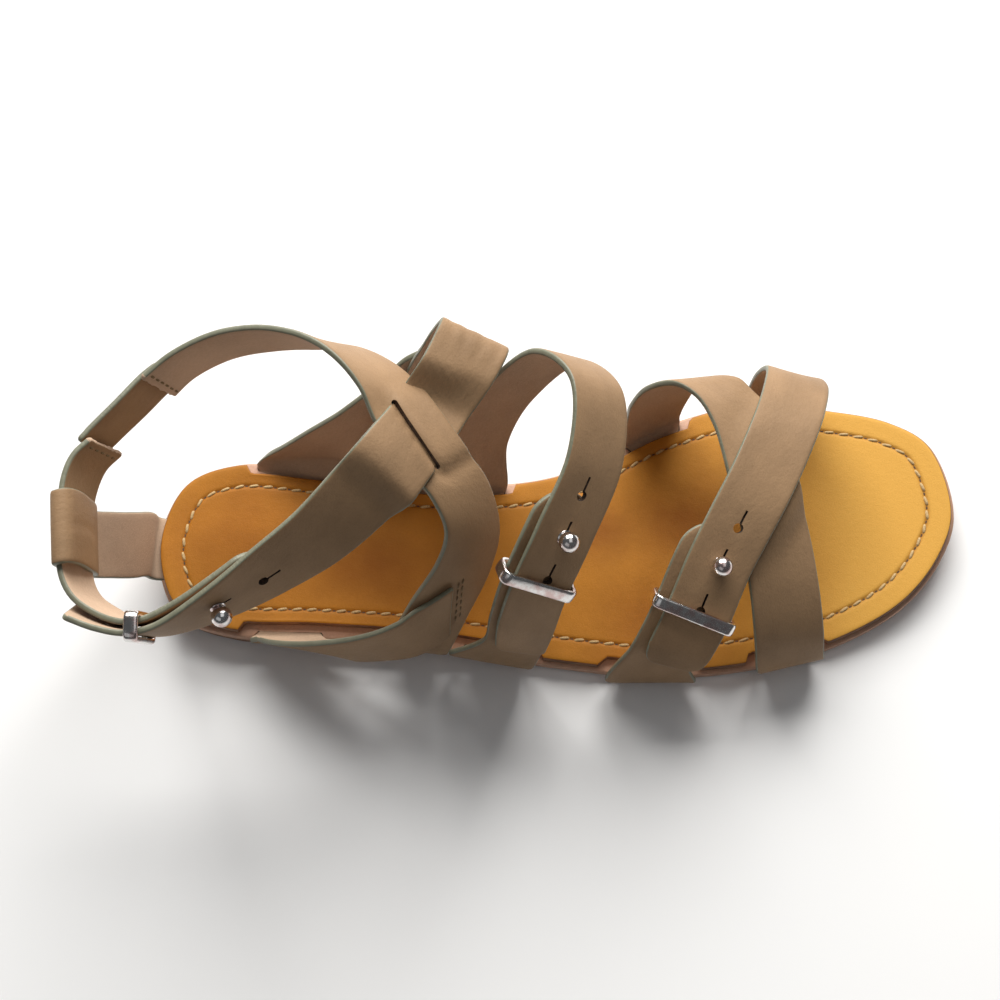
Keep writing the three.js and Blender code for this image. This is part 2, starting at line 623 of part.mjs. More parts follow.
function instepStraps() {
  const under = drill(ribbon(instepUnder), ankleStud, STUD.hole);
  return under.add(ribbon(instepOver)).add(ribbon(rearLateral)).add(ribbon(rearMedial));
}

const billet = (path, stud) => drill(ribbon(path, { round: true }), stud, STUD.hole);

// extra widens the loop towards the strap's rear edge, where a billet shows beside it.
function keeper(path, row, depth, extra = 0) {
  const station = path.sample(row);
  station.point.addScaledVector(station.across, -extra / 2);
  const clear = depth + STRAP.thick + 2 * GAP + KEEPER.slack;
  return keeperSolid(station, -depth / 2, STRAP.width + 2 * KEEPER.sideways + extra, clear);
}

// ---- the scene --------------------------------------------------------------------------

const leather = (color) => new THREE.MeshStandardMaterial({ color, roughness: 0.55, metalness: 0 });
const STRAP_LEATHER = leather(0xa58a6c);
const INSOLE_LEATHER = leather(0xcf9638);
const OUTSOLE_LEATHER = leather(0xc08358);
const HEEL_LEATHER = leather(0x7a4a2e);
const NICKEL = new THREE.MeshStandardMaterial({ color: 0xd4d4d2, roughness: 0.15, metalness: 1 });

const sandal = new THREE.Group();

function addPiece(name, geometry, material) {
  const mesh = new THREE.Mesh(geometry, material);
  mesh.name = name;
  sandal.add(mesh);
}

addPiece('outsole', toGeometry(outsole()), OUTSOLE_LEATHER);
addPiece('heel_block', toGeometry(heelBlock()), HEEL_LEATHER);
addPiece('insole', toGeometry(insole()), INSOLE_LEATHER);
addPiece('toe_straps', toGeometry(toeStraps()), STRAP_LEATHER);
addPiece('midfoot_strap', toGeometry(drill(ribbon(midfoot), midStud, STUD.hole)), STRAP_LEATHER);
addPiece('instep_straps', toGeometry(instepStraps()), STRAP_LEATHER);
addPiece('heel_strap', toGeometry(ribbon(heelStrap)), STRAP_LEATHER);
addPiece('toe_billet', toGeometry(billet(toeBillet, toeStud)), STRAP_LEATHER);
addPiece('midfoot_billet', toGeometry(billet(midBillet, midStud)), STRAP_LEATHER);
addPiece('ankle_billet', toGeometry(billet(ankleBillet, ankleStud)), STRAP_LEATHER);
addPiece('ankle_link', toGeometry(ribbon(ankleLink)), STRAP_LEATHER);

addPiece('toe_keeper', toGeometry(keeper(toeOver, TOE_MARKS.keeper, DEPTH, 2.8)), NICKEL);
addPiece('midfoot_keeper', toGeometry(keeper(midfoot, MID_MARKS.keeper, DEPTH, 2.4)), NICKEL);
addPiece('ankle_keeper', toGeometry(keeper(instepUnder, ANKLE_MARKS.keeper, ANKLE_DEPTH)), NICKEL);
addPiece('toe_stud', placed(studGeometry(DEPTH), toeStud, 0), NICKEL);
addPiece('midfoot_stud', placed(studGeometry(DEPTH), midStud, 0), NICKEL);
addPiece('ankle_stud', placed(studGeometry(ANKLE_DEPTH), ankleStud, 0), NICKEL);

const middle = new THREE.Box3().setFromObject(sandal).getCenter(new THREE.Vector3());
for (const mesh of sandal.children) mesh.geometry.translate(-middle.x, -middle.y, 0);

export default sandal;
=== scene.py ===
import math
from collections import namedtuple

import bmesh
import bpy
import numpy as np
from bpy.props import FloatProperty, FloatVectorProperty, PointerProperty
from mathutils import Matrix, Vector, geometry, kdtree, noise


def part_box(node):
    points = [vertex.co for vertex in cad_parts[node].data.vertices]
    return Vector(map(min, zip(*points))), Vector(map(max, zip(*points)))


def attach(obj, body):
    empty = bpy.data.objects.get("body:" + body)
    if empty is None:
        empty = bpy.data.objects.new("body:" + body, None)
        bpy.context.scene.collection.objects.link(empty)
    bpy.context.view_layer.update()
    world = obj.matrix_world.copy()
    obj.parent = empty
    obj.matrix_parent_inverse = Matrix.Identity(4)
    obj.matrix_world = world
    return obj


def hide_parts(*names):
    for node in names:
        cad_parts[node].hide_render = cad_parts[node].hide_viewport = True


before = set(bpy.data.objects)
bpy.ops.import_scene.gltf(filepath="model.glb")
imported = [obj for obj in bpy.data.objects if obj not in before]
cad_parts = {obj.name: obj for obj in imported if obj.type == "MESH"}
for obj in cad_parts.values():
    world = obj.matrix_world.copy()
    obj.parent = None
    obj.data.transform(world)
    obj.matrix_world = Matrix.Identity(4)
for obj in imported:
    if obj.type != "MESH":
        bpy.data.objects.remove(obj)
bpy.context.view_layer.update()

bl_info = {
    "name": "Gladiator sandal",
    "version": (1, 0, 0),
    "blender": (4, 5, 0),
    "location": "3D View > Sidebar > Sandal",
    "description": "Builds the leather, thread and metal of a flat gladiator sandal round its frame",
    "category": "Add Mesh",
}

MM = 0.001

# ---- driving sizes, in millimetres ------------------------------------------------------
# The tables are drawn from the ground under the middle of the sole: +X toe, +Y medial, +Z up.

SOLE_LENGTH = 255.0
TOE_TIP_Y = 9.0
OUTSOLE_THICK = 4.2
INSOLE_THICK = 3.0
INSOLE_INSET = 1.3
NOTCH_DEPTH = 3.0
HEEL_RISE = 6.0
HEEL_FRONT_X = -60.0
HEEL_INSET = 0.8
WAIST_FRONT_X = 12.0
WAIST_BACK_X = -56.0
SPRING_X = 74.0
SPRING_RISE = 5.0
STITCH_INSET = 8.8
GROOVE_GAP = STITCH_INSET - INSOLE_INSET

STRAP_WIDTH = 21.5
BILLET_WIDTH = 19.5
LINK_WIDTH = 17.0
HEEL_ROOT_WIDTH = 21.5
HALF_THICK = 1.0
BILLET_DEPTH = 2.6
ANKLE_DEPTH = 2.7
BALL_RADIUS = 3.0

# Corner radius of a strap's end: cut square, rounded at a closing strap, or cut raw.
SQUARE = 1.6
ROUNDED = 3.2
RAW_CUT = 0.6
END_STITCH_MARGIN = 1.6

Outline = namedtuple("Outline", "x medial lateral")
SOLE_OUTLINE = [
    Outline(-120, 21.7, 21.7),
    Outline(-103, 28.7, 28.7),
    Outline(-75, 26.4, 30.2),
    Outline(-38, 21.4, 33.0),
    Outline(0, 25.2, 38.2),
    Outline(35, 42.0, 41.6),
    Outline(65, 49.8, 38.6),
    Outline(90, 47.2, 31.4),
    Outline(110, 41.8, 20.2),
    Outline(122, 32.6, 6.2),
]

# A strap's middle at x, y, z; a, b, c points across it, to its front or lower edge.
Row = namedtuple("Row", "x y z a b c width", defaults=(None,))
TOE_OVER = [
    Row(74.5, 50.5, 24, 0.98, -0.1, 0),
    Row(76, 45, 37.5, 0.93, -0.35, -0.02),
    Row(73.8, 35.5, 45.5, 0.93, -0.34, -0.1),
    Row(70.3, 25.5, 49.8, 0.93, -0.33, -0.14),
    Row(62.3, 7.5, 51.6, 0.9, -0.36, -0.25),
    Row(55.3, -5.5, 49.4, 0.89, -0.36, -0.3),
    Row(48.9, -17.3, 45, 0.89, -0.33, -0.32),
    Row(42.8, -30.3, 38, 0.9, -0.3, -0.3),
    Row(37.8, -39.6, 30.5, 0.92, -0.25, -0.3, 19.5),
    Row(35.2, -43, 25.5, 0.94, -0.2, -0.25, 16.5),
]
TOE_UNDER = [
    Row(34, 43, 20, 0.94, 0.33, 0.02),
    Row(35.2, 42.2, 31, 0.96, 0.25, 0.02),
    Row(39.8, 42, 41.5, 0.97, 0.16, -0.06),
    Row(47.5, 39.6, 48.3, 0.96, 0.1, -0.18),
    Row(54, 33.6, 50.2, 0.94, 0.06, -0.3),
    Row(58.8, 24, 49.8, 0.93, 0.04, -0.35),
    Row(62.8, 8, 47.8, 0.93, 0.06, -0.35),
    Row(66.4, -6, 43, 0.94, 0.1, -0.3),
    Row(69.2, -22, 36, 0.97, 0.1, -0.2),
    Row(71.2, -34.6, 25.5, 0.98, 0.14, -0.12),
    Row(72.5, -39.2, 14, 0.97, 0.22, -0.06),
]
MIDFOOT = [
    Row(-21.5, 28.5, 28, 0.93, 0.12, -0.34),
    Row(-12, 35.5, 50, 0.84, 0.1, -0.52),
    Row(4, 38, 72, 0.76, 0.06, -0.64),
    Row(14.5, 26, 80.3, 0.76, 0.02, -0.64),
    Row(14, 4, 78, 0.78, -0.03, -0.61),
    Row(5, -16, 70, 0.78, -0.1, -0.6),
    Row(-1.8, -27.6, 59.6, 0.8, -0.1, -0.58),
    Row(-6.6, -35.4, 44, 0.84, -0.06, -0.52, 21),
    Row(-10, -38.8, 28, 0.9, -0.04, -0.42, 16),
]
INSTEP_UNDER = [
    Row(-41, 34, 30, 0.96, 0, -0.28),
    Row(-31.5, 40.5, 58, 0.92, -0.05, -0.4),
    Row(-20.8, 41.1, 81.5, 0.88, -0.35, -0.3),
    Row(-25.8, 28.6, 84.2, 0.7, -0.62, -0.3),
    Row(-34.1, 13.9, 84.8, 0.6, -0.7, -0.32),
    Row(-43.3, 1, 87.2, 0.55, -0.7, -0.45),
    Row(-52.8, -8.4, 84, 0.5, -0.58, -0.62),
    Row(-64.5, -17.8, 78.5, 0.42, -0.42, -0.8),
    Row(-77.5, -26, 75, 0.3, -0.28, -0.9),
    Row(-93, -34.5, 71.6, 0.06, -0.1, -0.99),
    Row(-108.3, -41.4, 69.5, -0.05, 0.12, -0.99),
    Row(-116, -42.3, 69.8, -0.06, 0.22, -0.97),
    Row(-125.3, -40, 70.5, -0.08, 0.32, -0.95),
    Row(-134.2, -36.2, 71.5, -0.1, 0.4, -0.92),
]
INSTEP_OVER = [
    Row(-114.4, 31, 71, 0.25, 0.1, -0.96),
    Row(-107, 37, 73, 0.12, 0.05, -0.99),
    Row(-95.6, 41.4, 76, 0.02, 0.03, -1),
    Row(-83, 42.2, 79, 0.02, 0.06, -1),
    Row(-69.5, 39.8, 83, 0.14, 0.18, -0.97),
    Row(-57, 35, 85.8, 0.38, 0.36, -0.85),
    Row(-46.5, 26.5, 86.8, 0.6, 0.42, -0.68),
    Row(-38.5, 14.5, 85.7, 0.72, 0.47, -0.5),
    Row(-31, 4, 82.3, 0.76, 0.46, -0.46),
    Row(-24.6, -3.5, 76.3, 0.74, 0.45, -0.5),
    Row(-21.8, -12, 67, 0.72, 0.28, -0.63),
    Row(-25, -20, 56, 0.74, 0.12, -0.66),
    Row(-32.8, -28.8, 42, 0.82, -0.04, -0.57),
    Row(-39.4, -34.2, 26, 0.9, -0.08, -0.42),
]
REAR_LATERAL = [
    Row(-29.5, -29.6, 43.8, -0.08, -0.55, -0.83, 21.5),
    Row(-40.7, -35.6, 37, 0.02, -0.33, -0.94, 21.5),
    Row(-53.5, -37.6, 30, 0.15, -0.12, -0.98, 21.5),
    Row(-67.5, -37.2, 22.8, 0.55, -0.02, -0.83, 22),
    Row(-76.5, -34.4, 18, 0.88, 0, -0.47, 23),
    Row(-80.5, -31.6, 14.2, 0.98, 0, -0.16, 25),
]
REAR_MEDIAL = [
    Row(-80.5, 29.4, 14, 0.99, -0.02, -0.14, 25),
    Row(-76.5, 30, 18.4, 0.92, 0.02, -0.38, 22.5),
    Row(-69.3, 31.8, 25, 0.8, 0.06, -0.6, 21.5),
    Row(-60, 34, 33.5, 0.6, 0.1, -0.79, 21.5),
    Row(-48, 38.5, 44.5, 0.45, 0.1, -0.88, 21.5),
    Row(-34, 42.4, 56, 0.3, 0.05, -0.95, 21.5),
]
ANKLE_BILLET = [
    Row(-124.5, -36.2, 68.7, 0.08, 0.26, -0.96),
    Row(-131, -31.6, 68.6, 0.12, 0.22, -0.96),
    Row(-134.4, -25.2, 68.8, 0.16, 0.14, -0.97),
    Row(-135.4, -12, 69.2, 0.16, 0.06, -0.98),
    Row(-135.8, 0.5, 69.3, 0.16, 0.04, -0.98),
    Row(-133.4, 8.6, 69.4, 0.18, 0.1, -0.97),
    Row(-128.8, 13.6, 69.4, 0.2, 0.12, -0.97),
]
ANKLE_LINK = [
    Row(-133, 13.2, 69.4, 0.2, 0.12, -0.97),
    Row(-130.2, 16.6, 69.6, 0.2, 0.12, -0.97),
    Row(-122.4, 25.4, 69.6, 0.22, 0.12, -0.97),
    Row(-115.9, 33, 69.4, 0.2, 0.1, -0.97),
    Row(-111.6, 36.6, 69.6, 0.16, 0.08, -0.98),
]
HEEL_STRAP = [
    Row(-131, -3.4, 26, -0.04, 1, 0.03),
    Row(-133.3, -7.6, 40, -0.06, 1, 0.06, 20.8),
    Row(-136, -11.4, 54, -0.08, 1, 0.08, 20.4),
    Row(-137.8, -13.1, 68, -0.08, 1, 0.08),
    Row(-138.8, -14, 76.5, -0.08, 1, 0.08),
    Row(-137.8, -14.6, 80.2, -0.08, 1, 0.08),
    Row(-134.7, -14, 80.4, -0.08, 1, 0.08),
    Row(-133, -12.8, 74, -0.08, 1, 0.08),
    Row(-132.8, -11.9, 63.5, -0.08, 1, 0.08),
    Row(-133.4, -11.2, 58, -0.08, 1, 0.08),
    Row(-134.2, -11, 54.6, -0.08, 1, 0.08),
]

# How a strap enters the sole, from inside it to its standing part.
RootStep = namedtuple("RootStep", "out up share")
ROOT_STEPS = {
    "lateral": [RootStep(-9, -1.3, 0.62), RootStep(-2.2, -1.2, 0.70), RootStep(0.8, 0.9, 0.87),
                RootStep(1.8, 4.5, 1)],
    "medial": [RootStep(-9, -1.3, 0.62), RootStep(-4, -1.25, 0.80), RootStep(-1.3, 0.9, 0.94),
               RootStep(-0.1, 5, 0.99)],
    "heel": [RootStep(-9, -1.3, 0.94), RootStep(-2.2, -1.2, 0.96), RootStep(0.9, 0.9, 0.98),
             RootStep(1.8, 5, 1)],
}

# Where each strap is rooted: x of its middle, side of the foot and width.
Root = namedtuple("Root", "x side width")
ROOTS = {
    "toe_over": Root(73, 1, STRAP_WIDTH),
    "toe_under": Root(32, 1, STRAP_WIDTH),
    "toe_under_lateral": Root(73, -1, STRAP_WIDTH),
    "toe_billet": Root(30, -1, 28),
    "midfoot": Root(-25, 1, STRAP_WIDTH),
    "midfoot_billet": Root(-19.2, -1, 26.6),
    "instep_under": Root(-48, 1, STRAP_WIDTH),
    "instep_over": Root(-43.5, -1, STRAP_WIDTH),
    "rear_lateral": Root(-83.5, -1, 28),
    "rear_medial": Root(-83.5, 1, 28),
}

# Straps cut narrower than in the frame, and the share of the loss that is on the front edge.
Cut = namedtuple("Cut", "width front")
CUTS = {"toe_over": Cut(20, 0.3), "midfoot": Cut(18.8, 1), "instep_over": Cut(19.8, 0.7)}

# Keyholes along a closing strap: s from its stud, t across it, and the slit's length.
Hole = namedtuple("Hole", "s t slit")
# A closing strap: row numbers of the billet's tip, the stud, the keeper and the billet's last
# row under it, the gap between the two middles, how far the billet and the keeper are shifted
# and widened across the strap, and its keyholes.
Closing = namedtuple("Closing", "strip tip stud keeper end depth shift keeper_extra holes")
CLOSINGS = {
    "toe": Closing("toe_over", 9.2, 9.95, 11, 13, BILLET_DEPTH, -3.4, 2.8,
                   [Hole(-11.7, 0, 4.2), Hole(0, 0, 3.4), Hole(15.2, 0, 4.2)]),
    "midfoot": Closing("midfoot", 8.45, 9, 9.95, 12, BILLET_DEPTH, -1.75, 2.4,
                       [Hole(-12.6, -0.6, 4.2), Hole(0, 0, 3.4), Hole(13.9, 1, 4.2)]),
    "ankle": Closing("instep_under", 11.9, 13, 14.8, 15.2, ANKLE_DEPTH, 0, 0,
                     [Hole(-14.6, 1.4, 4.2), Hole(0, 0, 3.0)]),
}


def length_setting(name, text, metres):
    return FloatProperty(name=name, description=text, default=metres, unit="LENGTH")


def colour_setting(name, text, colour):
    return FloatVectorProperty(name=name, description=text, subtype="COLOR", default=colour)


class SandalSizes(bpy.types.PropertyGroup):
    """Sizes that can change without touching the frame."""

    stitch_pitch: length_setting("Stitch pitch", "Distance between insole stitches", 0.0047)
    thread: length_setting("Thread", "Diameter of the sewing thread", 0.0009)
    keyhole: length_setting("Keyhole", "Diameter of a keyhole's round end", 0.0030)
    slit: length_setting("Keyhole slit", "Longest slit of a keyhole", 0.0042)


class SandalColours(bpy.types.PropertyGroup):
    """Finish of the leather, thread and metal."""

    strap: colour_setting("Strap", "Outer face of the straps", (0.315, 0.197, 0.108))
    lining: colour_setting("Strap inside", "Inner face of the straps", (0.52, 0.37, 0.26))
    edge: colour_setting("Edge paint", "Painted edges of the straps", (0.185, 0.185, 0.130))
    insole: colour_setting("Insole", "Top face of the insole", (0.470, 0.192, 0.024))
    outsole: colour_setting("Outsole", "Outsole and its edge", (0.52, 0.30, 0.20))
    thread: colour_setting("Thread", "Sewing thread", (0.52, 0.36, 0.17))
    metal: colour_setting("Metal", "Ball studs and keepers", (0.80, 0.785, 0.77))


# ---- curves -----------------------------------------------------------------------------


class Spline:
    """Centripetal Catmull-Rom curve through points; the argument counts points from 0."""

    def __init__(self, points, closed=False):
        p = np.asarray(points, float)
        if closed:
            self.points = np.vstack([p[-1], p, p[0], p[1]])
        else:
            self.points = np.vstack([2 * p[0] - p[1], p, 2 * p[-1] - p[-2]])
        self.last = len(self.points) - 3

    def __call__(self, where):
        """Points and slopes at an array of places on the curve."""
        where = np.clip(np.asarray(where, float), 0, self.last)
        cell = np.minimum(where.astype(int), self.last - 1)
        u = (where - cell)[:, None]
        p0, p1, p2, p3 = (self.points[cell + k] for k in range(4))
        d0, d1, d2 = (np.sqrt(np.linalg.norm(b - a, axis=1))[:, None]
                      for a, b in ((p0, p1), (p1, p2), (p2, p3)))
        d1 = np.where(d1 < 1e-4, 1, d1)
        d0 = np.where(d0 < 1e-4, d1, d0)
        d2 = np.where(d2 < 1e-4, d1, d2)
        m1 = ((p1 - p0) / d0 - (p2 - p0) / (d0 + d1) + (p2 - p1) / d1) * d1
        m2 = ((p2 - p1) / d1 - (p3 - p1) / (d1 + d2) + (p3 - p2) / d2) * d1
        c2 = 3 * (p2 - p1) - 2 * m1 - m2
        c3 = 2 * (p1 - p2) + m1 + m2
        return p1 + u * (m1 + u * (c2 + u * c3)), m1 + u * (2 * c2 + 3 * u * c3)


def unit(v):
    return v / np.maximum(np.linalg.norm(v, axis=-1, keepdims=True), 1e-12)


def smooth(t):
    s = np.clip(t, 0, 1)
    return s * s * (3 - 2 * s)


# ---- sole surfaces ----------------------------------------------------------------------


def sole_bottom(x):
    """Height of the outsole's underside."""
    heel = HEEL_RISE * smooth((WAIST_FRONT_X - x) / (WAIST_FRONT_X - WAIST_BACK_X))
    spring = np.maximum(x - SPRING_X, 0) / (SOLE_LENGTH / 2 - SPRING_X)
    return heel + SPRING_RISE * spring**2


def sole_top(x):
    return sole_bottom(x) + OUTSOLE_THICK


def outline_ring(count=420):
    """Even points round the outsole, anticlockwise from above, and the way inwards at each."""
    half = SOLE_LENGTH / 2
    medial = [(r.x, r.medial) for r in SOLE_OUTLINE]
    lateral = [(r.x, -r.lateral) for r in reversed(SOLE_OUTLINE)]
    curve = Spline([(-half, 0), *medial, (half, TOE_TIP_Y), *lateral], closed=True)
    fine = np.linspace(0, curve.last, 6000)
    points, _ = curve(fine)
    run = np.concatenate([[0], np.cumsum(np.linalg.norm(np.diff(points, axis=0), axis=1))])
    places = np.interp(np.linspace(0, run[-1], count, endpoint=False), run, fine)
    points, slopes = curve(places)
    along = unit(slopes)
    return points[::-1], np.stack([along[:, 1], -along[:, 0]], 1)[::-1]


RING, RING_IN = outline_ring()
RING_CHORD = np.interp(RING[:, 0], [-SOLE_LENGTH / 2, SOLE_LENGTH / 2], [0, TOE_TIP_Y])
RING_SIDE = np.where(RING[:, 1] > RING_CHORD, 1, -1)
OUTSOLE_LOW, OUTSOLE_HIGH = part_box("outsole")
SHIFT = np.array([
    (OUTSOLE_LOW.x + OUTSOLE_HIGH.x) / 2 / MM - (RING[:, 0].min() + RING[:, 0].max()) / 2,
    (OUTSOLE_LOW.y + OUTSOLE_HIGH.y) / 2 / MM - (RING[:, 1].min() + RING[:, 1].max()) / 2,
    0,
])


def rim_y(x, side):
    """Where the outsole's rim is at x on one side of the foot."""
    part = RING[RING_SIDE == side]
    part = part[part[:, 0].argsort()]
    return np.interp(x, part[:, 0], part[:, 1])


def root_rows(root, count=4):
    """Rows of a strap's root, from inside the sole to its standing part."""
    reach = 4
    steps = ROOT_STEPS["medial" if root.side > 0 else "lateral"][:count]
    slope = (rim_y(root.x + reach, root.side) - rim_y(root.x - reach, root.side)) / (2 * reach)
    along = unit(np.array([1, slope]))
    out = np.array([-along[1], along[0]]) * root.side
    rise = (sole_top(root.x + reach) - sole_top(root.x - reach)) / (2 * reach)
    rim = np.array([root.x, rim_y(root.x, root.side)])
    rows = []
    for step in steps:
        x, y = rim + out * step.out
        rows.append(Row(x, y, sole_top(root.x) + step.up, along[0], along[1], rise * along[0],
                        root.width * step.share))
    return rows


def heel_root_rows():
    back = -SOLE_LENGTH / 2
    return [Row(back - step.out, 0, sole_top(back) + step.up, 0, 1, 0, HEEL_ROOT_WIDTH * step.share)
            for step in ROOT_STEPS["heel"]]


# ---- straps -----------------------------------------------------------------------------


class Strip:
    """A flat piece of leather laid along a path.

    s runs along it, t across it and h out of its outer face, all in millimetres.
    """

    def __init__(self, rows, width=STRAP_WIDTH):
        self.middle = Spline([(r.x, r.y, r.z) for r in rows])
        self.across = Spline([unit(np.array([r.a, r.b, r.c], float)) for r in rows])
        self.widths = Spline([(r.width or width, 0) for r in rows])
        self.last = self.middle.last
        self.rows = np.linspace(0, self.last, 60 * self.last + 1)
        points, _ = self.middle(self.rows)
        steps = np.linalg.norm(np.diff(points, axis=0), axis=1)
        self.run = np.concatenate([[0], np.cumsum(steps)])
        self.length = self.run[-1]
        self.bends = []
        self.settle = None

    def s_of(self, row):
        return float(np.interp(row, self.rows, self.run))

    def width_at(self, s):
        return self.widths(np.interp(s, self.run, self.rows))[0][:, 0]

    def station(self, row):
        """Point and directions along, across and out of the strip at row numbers."""
        point, slope = self.middle(row)
        across, _ = self.across(row)
        along, across = unit(slope), unit(across)
        return point, along, across, unit(np.cross(along, across))

    def place(self, s, t, h):
        """Points of the strip as it lies on the sandal."""
        s, t, h = (np.asarray(v, float) for v in (s, t, h))
        row = np.interp(s, self.run, self.rows)
        point, along, across, out = self.station(row)
        for bend in self.bends:
            h = h + bend(s, t)
        overshoot = s - np.clip(s, 0, self.length)
        points = (point + along * overshoot[:, None] + across * t[:, None] + out * h[:, None])
        return self.settle(points, h) if self.settle else points


def cut_narrower(rows, cut):
    """Rows of a strap cut to a smaller width; the share front is lost along its front edge."""
    narrowed = []
    for row in rows:
        wide = row.width or STRAP_WIDTH
        narrow = min(wide, cut.width)
        shift = (0.5 - cut.front) * (wide - narrow) * unit(np.array(row[3:6], float))
        x, y, z = np.array(row[:3]) + shift
        narrowed.append(row._replace(x=x, y=y, z=z, width=narrow))
    return narrowed


def rows_under(strips, closing):
    """Rows of a billet that lies against the inner side of a closing strap."""
    point, _, across, out = strips[closing.strip].station(np.linspace(closing.tip, closing.end, 5))
    point = point - out * closing.depth + across * closing.shift
    return [Row(*p, *a, BILLET_WIDTH) for p, a in zip(point, across)]


def dent(s0, t0, s1, t1, width, depth):
    """A soft trough of the leather along a line; a negative depth is a ridge."""
    start, step = np.array([s0, t0]), np.array([s1 - s0, t1 - t0])

    def bend(s, t):
        p = np.stack([s, t], 1) - start
        share = np.clip(p @ step / max(step @ step, 1e-9), 0, 1)
        gap = np.linalg.norm(p - share[:, None] * step, axis=1)
        return -depth * np.exp(-((gap / width) ** 2))

    return bend


def waves(seed, height, size=24.0):
    """The uneven lie of worn leather."""

    def bend(s, t):
        return np.array([height * noise.noise(Vector((a / size, b / size, seed))) for a, b in zip(s, t)])

    return bend


class Surface:
    """A strip's middle surface as a cloud of points, for laying other strips on it."""

    def __init__(self, strip, first_row, last_row):
        grid_s = np.arange(strip.s_of(first_row), strip.s_of(last_row), 0.8)
        share = np.linspace(-1, 1, 27)
        s, v = (g.ravel() for g in np.meshgrid(grid_s, share, indexing="ij"))
        t = v * strip.width_at(s) / 2
        self.points = strip.place(s, t, 0 * s)
        self.normals = strip.station(np.interp(s, strip.run, strip.rows))[3]
        self.s, self.t = s, t
        self.tree = kdtree.KDTree(len(s))
        for i, p in enumerate(self.points):
            self.tree.insert(p, i)
        self.tree.balance()

    def nearest(self, points):
        return np.array([self.tree.find(p)[1] for p in points])


def level_at(height):
    return lambda s, t: np.full(len(s), height)


def lie_against(surface, height, fade=8.0):
    """Moves points to height(s, t) above a surface where they cross it."""

    def settle(points, h):
        i = surface.nearest(points)
        normal, away = surface.normals[i], points - surface.points[i]
        above = (away * normal).sum(1)
        beside = np.linalg.norm(away - above[:, None] * normal, axis=1)
        wanted = height(surface.s[i], surface.t[i]) + h
        weight = 1 - smooth((beside - 0.6) / fade)
        weight = weight * (1 - smooth((np.abs(above - wanted) - 6) / 4))
        return points + normal * ((wanted - above) * weight)[:, None]

    return settle


Edge = namedtuple("Edge", "inset share")
EDGE = [Edge(0, 0.34), Edge(0.1, 0.62), Edge(0.36, 0.86), Edge(0.9, 0.975), Edge(1.8, 1.0)]
EDGE_INSETS = np.array([e.inset for e in EDGE])
EDGE_SHARES = np.array([e.share for e in EDGE])
PAINT_REACH = 0.42


def end_distance(s_left, t, half, corner):
    """Distance to the outline of a strip's end with rounded corners, s_left from its tip."""
    a, b = np.abs(t) - (half - corner), corner - s_left
    inside = np.minimum(half - np.abs(t), s_left)
    return np.where((a > 0) & (b > 0), corner - np.hypot(a, b), inside)


def end_narrowing(s_left, corner):
    b = np.clip(corner - s_left, 0, corner)
    return corner - np.sqrt(np.maximum(corner**2 - b**2, 0))


def stations(length, corners, step=1.5):
    """Places along a strip, closer together at its ends."""
    marks = [np.arange(0, length, step)]
    for corner, side in zip(corners, (0, 1)):
        turn = corner * (1 - np.cos(np.linspace(0, math.pi / 2, 12 if corner > 4 else 5)))
        near = np.concatenate([EDGE_INSETS, turn[turn > 0.01]])
        marks.append(near if side == 0 else length - near)
    s = np.unique(np.round(np.concatenate(marks), 3))
    s = s[(s >= 0) & (s <= length)]
    keep = np.concatenate([[True], np.diff(s) > 0.08])
    keep[-1] = True
    return s[keep]


def strip_blank(strip, corners, middle_count=13):
    """The flat leather before it is bent: vertices in s, t, h and faces."""
    length = strip.length
    rings = stations(length, corners)
    half = strip.width_at(rings) / 2
    narrow = end_narrowing(rings, corners[0]) + end_narrowing(length - rings, corners[1])
    vertices = []
    inner_share = np.linspace(-1, 1, middle_count + 2)[1:-1]
    for s, wide, less in zip(rings, half, narrow):
        reach = max(wide - less, 0.25)
        squeeze = min(1.0, reach / (2.2 * EDGE_INSETS[-1]))
        insets = EDGE_INSETS * squeeze
        t = np.concatenate([insets - reach, inner_share * (reach - insets[-1]), (reach - insets)[::-1]])
        gap = np.minimum(end_distance(np.full_like(t, s), t, wide, corners[0]),
                         end_distance(np.full_like(t, length - s), t, wide, corners[1]))
        h = np.interp(gap, EDGE_INSETS, EDGE_SHARES) * HALF_THICK
        here = np.full_like(t, s)
        vertices.append(np.stack([here, t, h], 1))
        vertices.append(np.stack([here, t, -h], 1)[::-1])
    n = 2 * (len(EDGE) * 2 + middle_count)
    vertices = np.concatenate(vertices)
    faces = ring_faces(len(rings), n)
    half_n = n // 2
    for base, flip in ((0, False), ((len(rings) - 1) * n, True)):
        for i in range(half_n - 1):
            quad = (base + i, base + i + 1, base + n - 2 - i, base + n - 1 - i)
            faces.append(quad[::-1] if flip else quad)
    return vertices, faces


OUTER, INNER, PAINT, HOLE_SHADE = range(4)


def face_finish(mesh, reach_of, turned=None, raw_ends=()):
    """Gives each face of a flat blank its leather, lining or edge paint, or painted shade on the walls of
    holes and slits.

    turned is the stretch of s whose inner side shows outer leather, where the end is folded
    back; raw_ends are the places s whose cut edges are unpainted.
    """
    for face in mesh.polygons:
        upright = abs(face.normal.z) < 0.35
        s, t, _ = face.center
        gap = reach_of(s, t)
        # Walls of holes and slits: painted shade, nearly black.
        if upright and gap > 0.7:
            face.material_index = HOLE_SHADE
        elif gap < PAINT_REACH * 0.6 or upright:
            raw = any(abs(s - place) < 1.2 for place in raw_ends)
            face.material_index = INNER if raw else PAINT
        elif face.normal.z > 0 or (turned and turned[0] < s < turned[1]):
            face.material_index = OUTER
        else:
            face.material_index = INNER


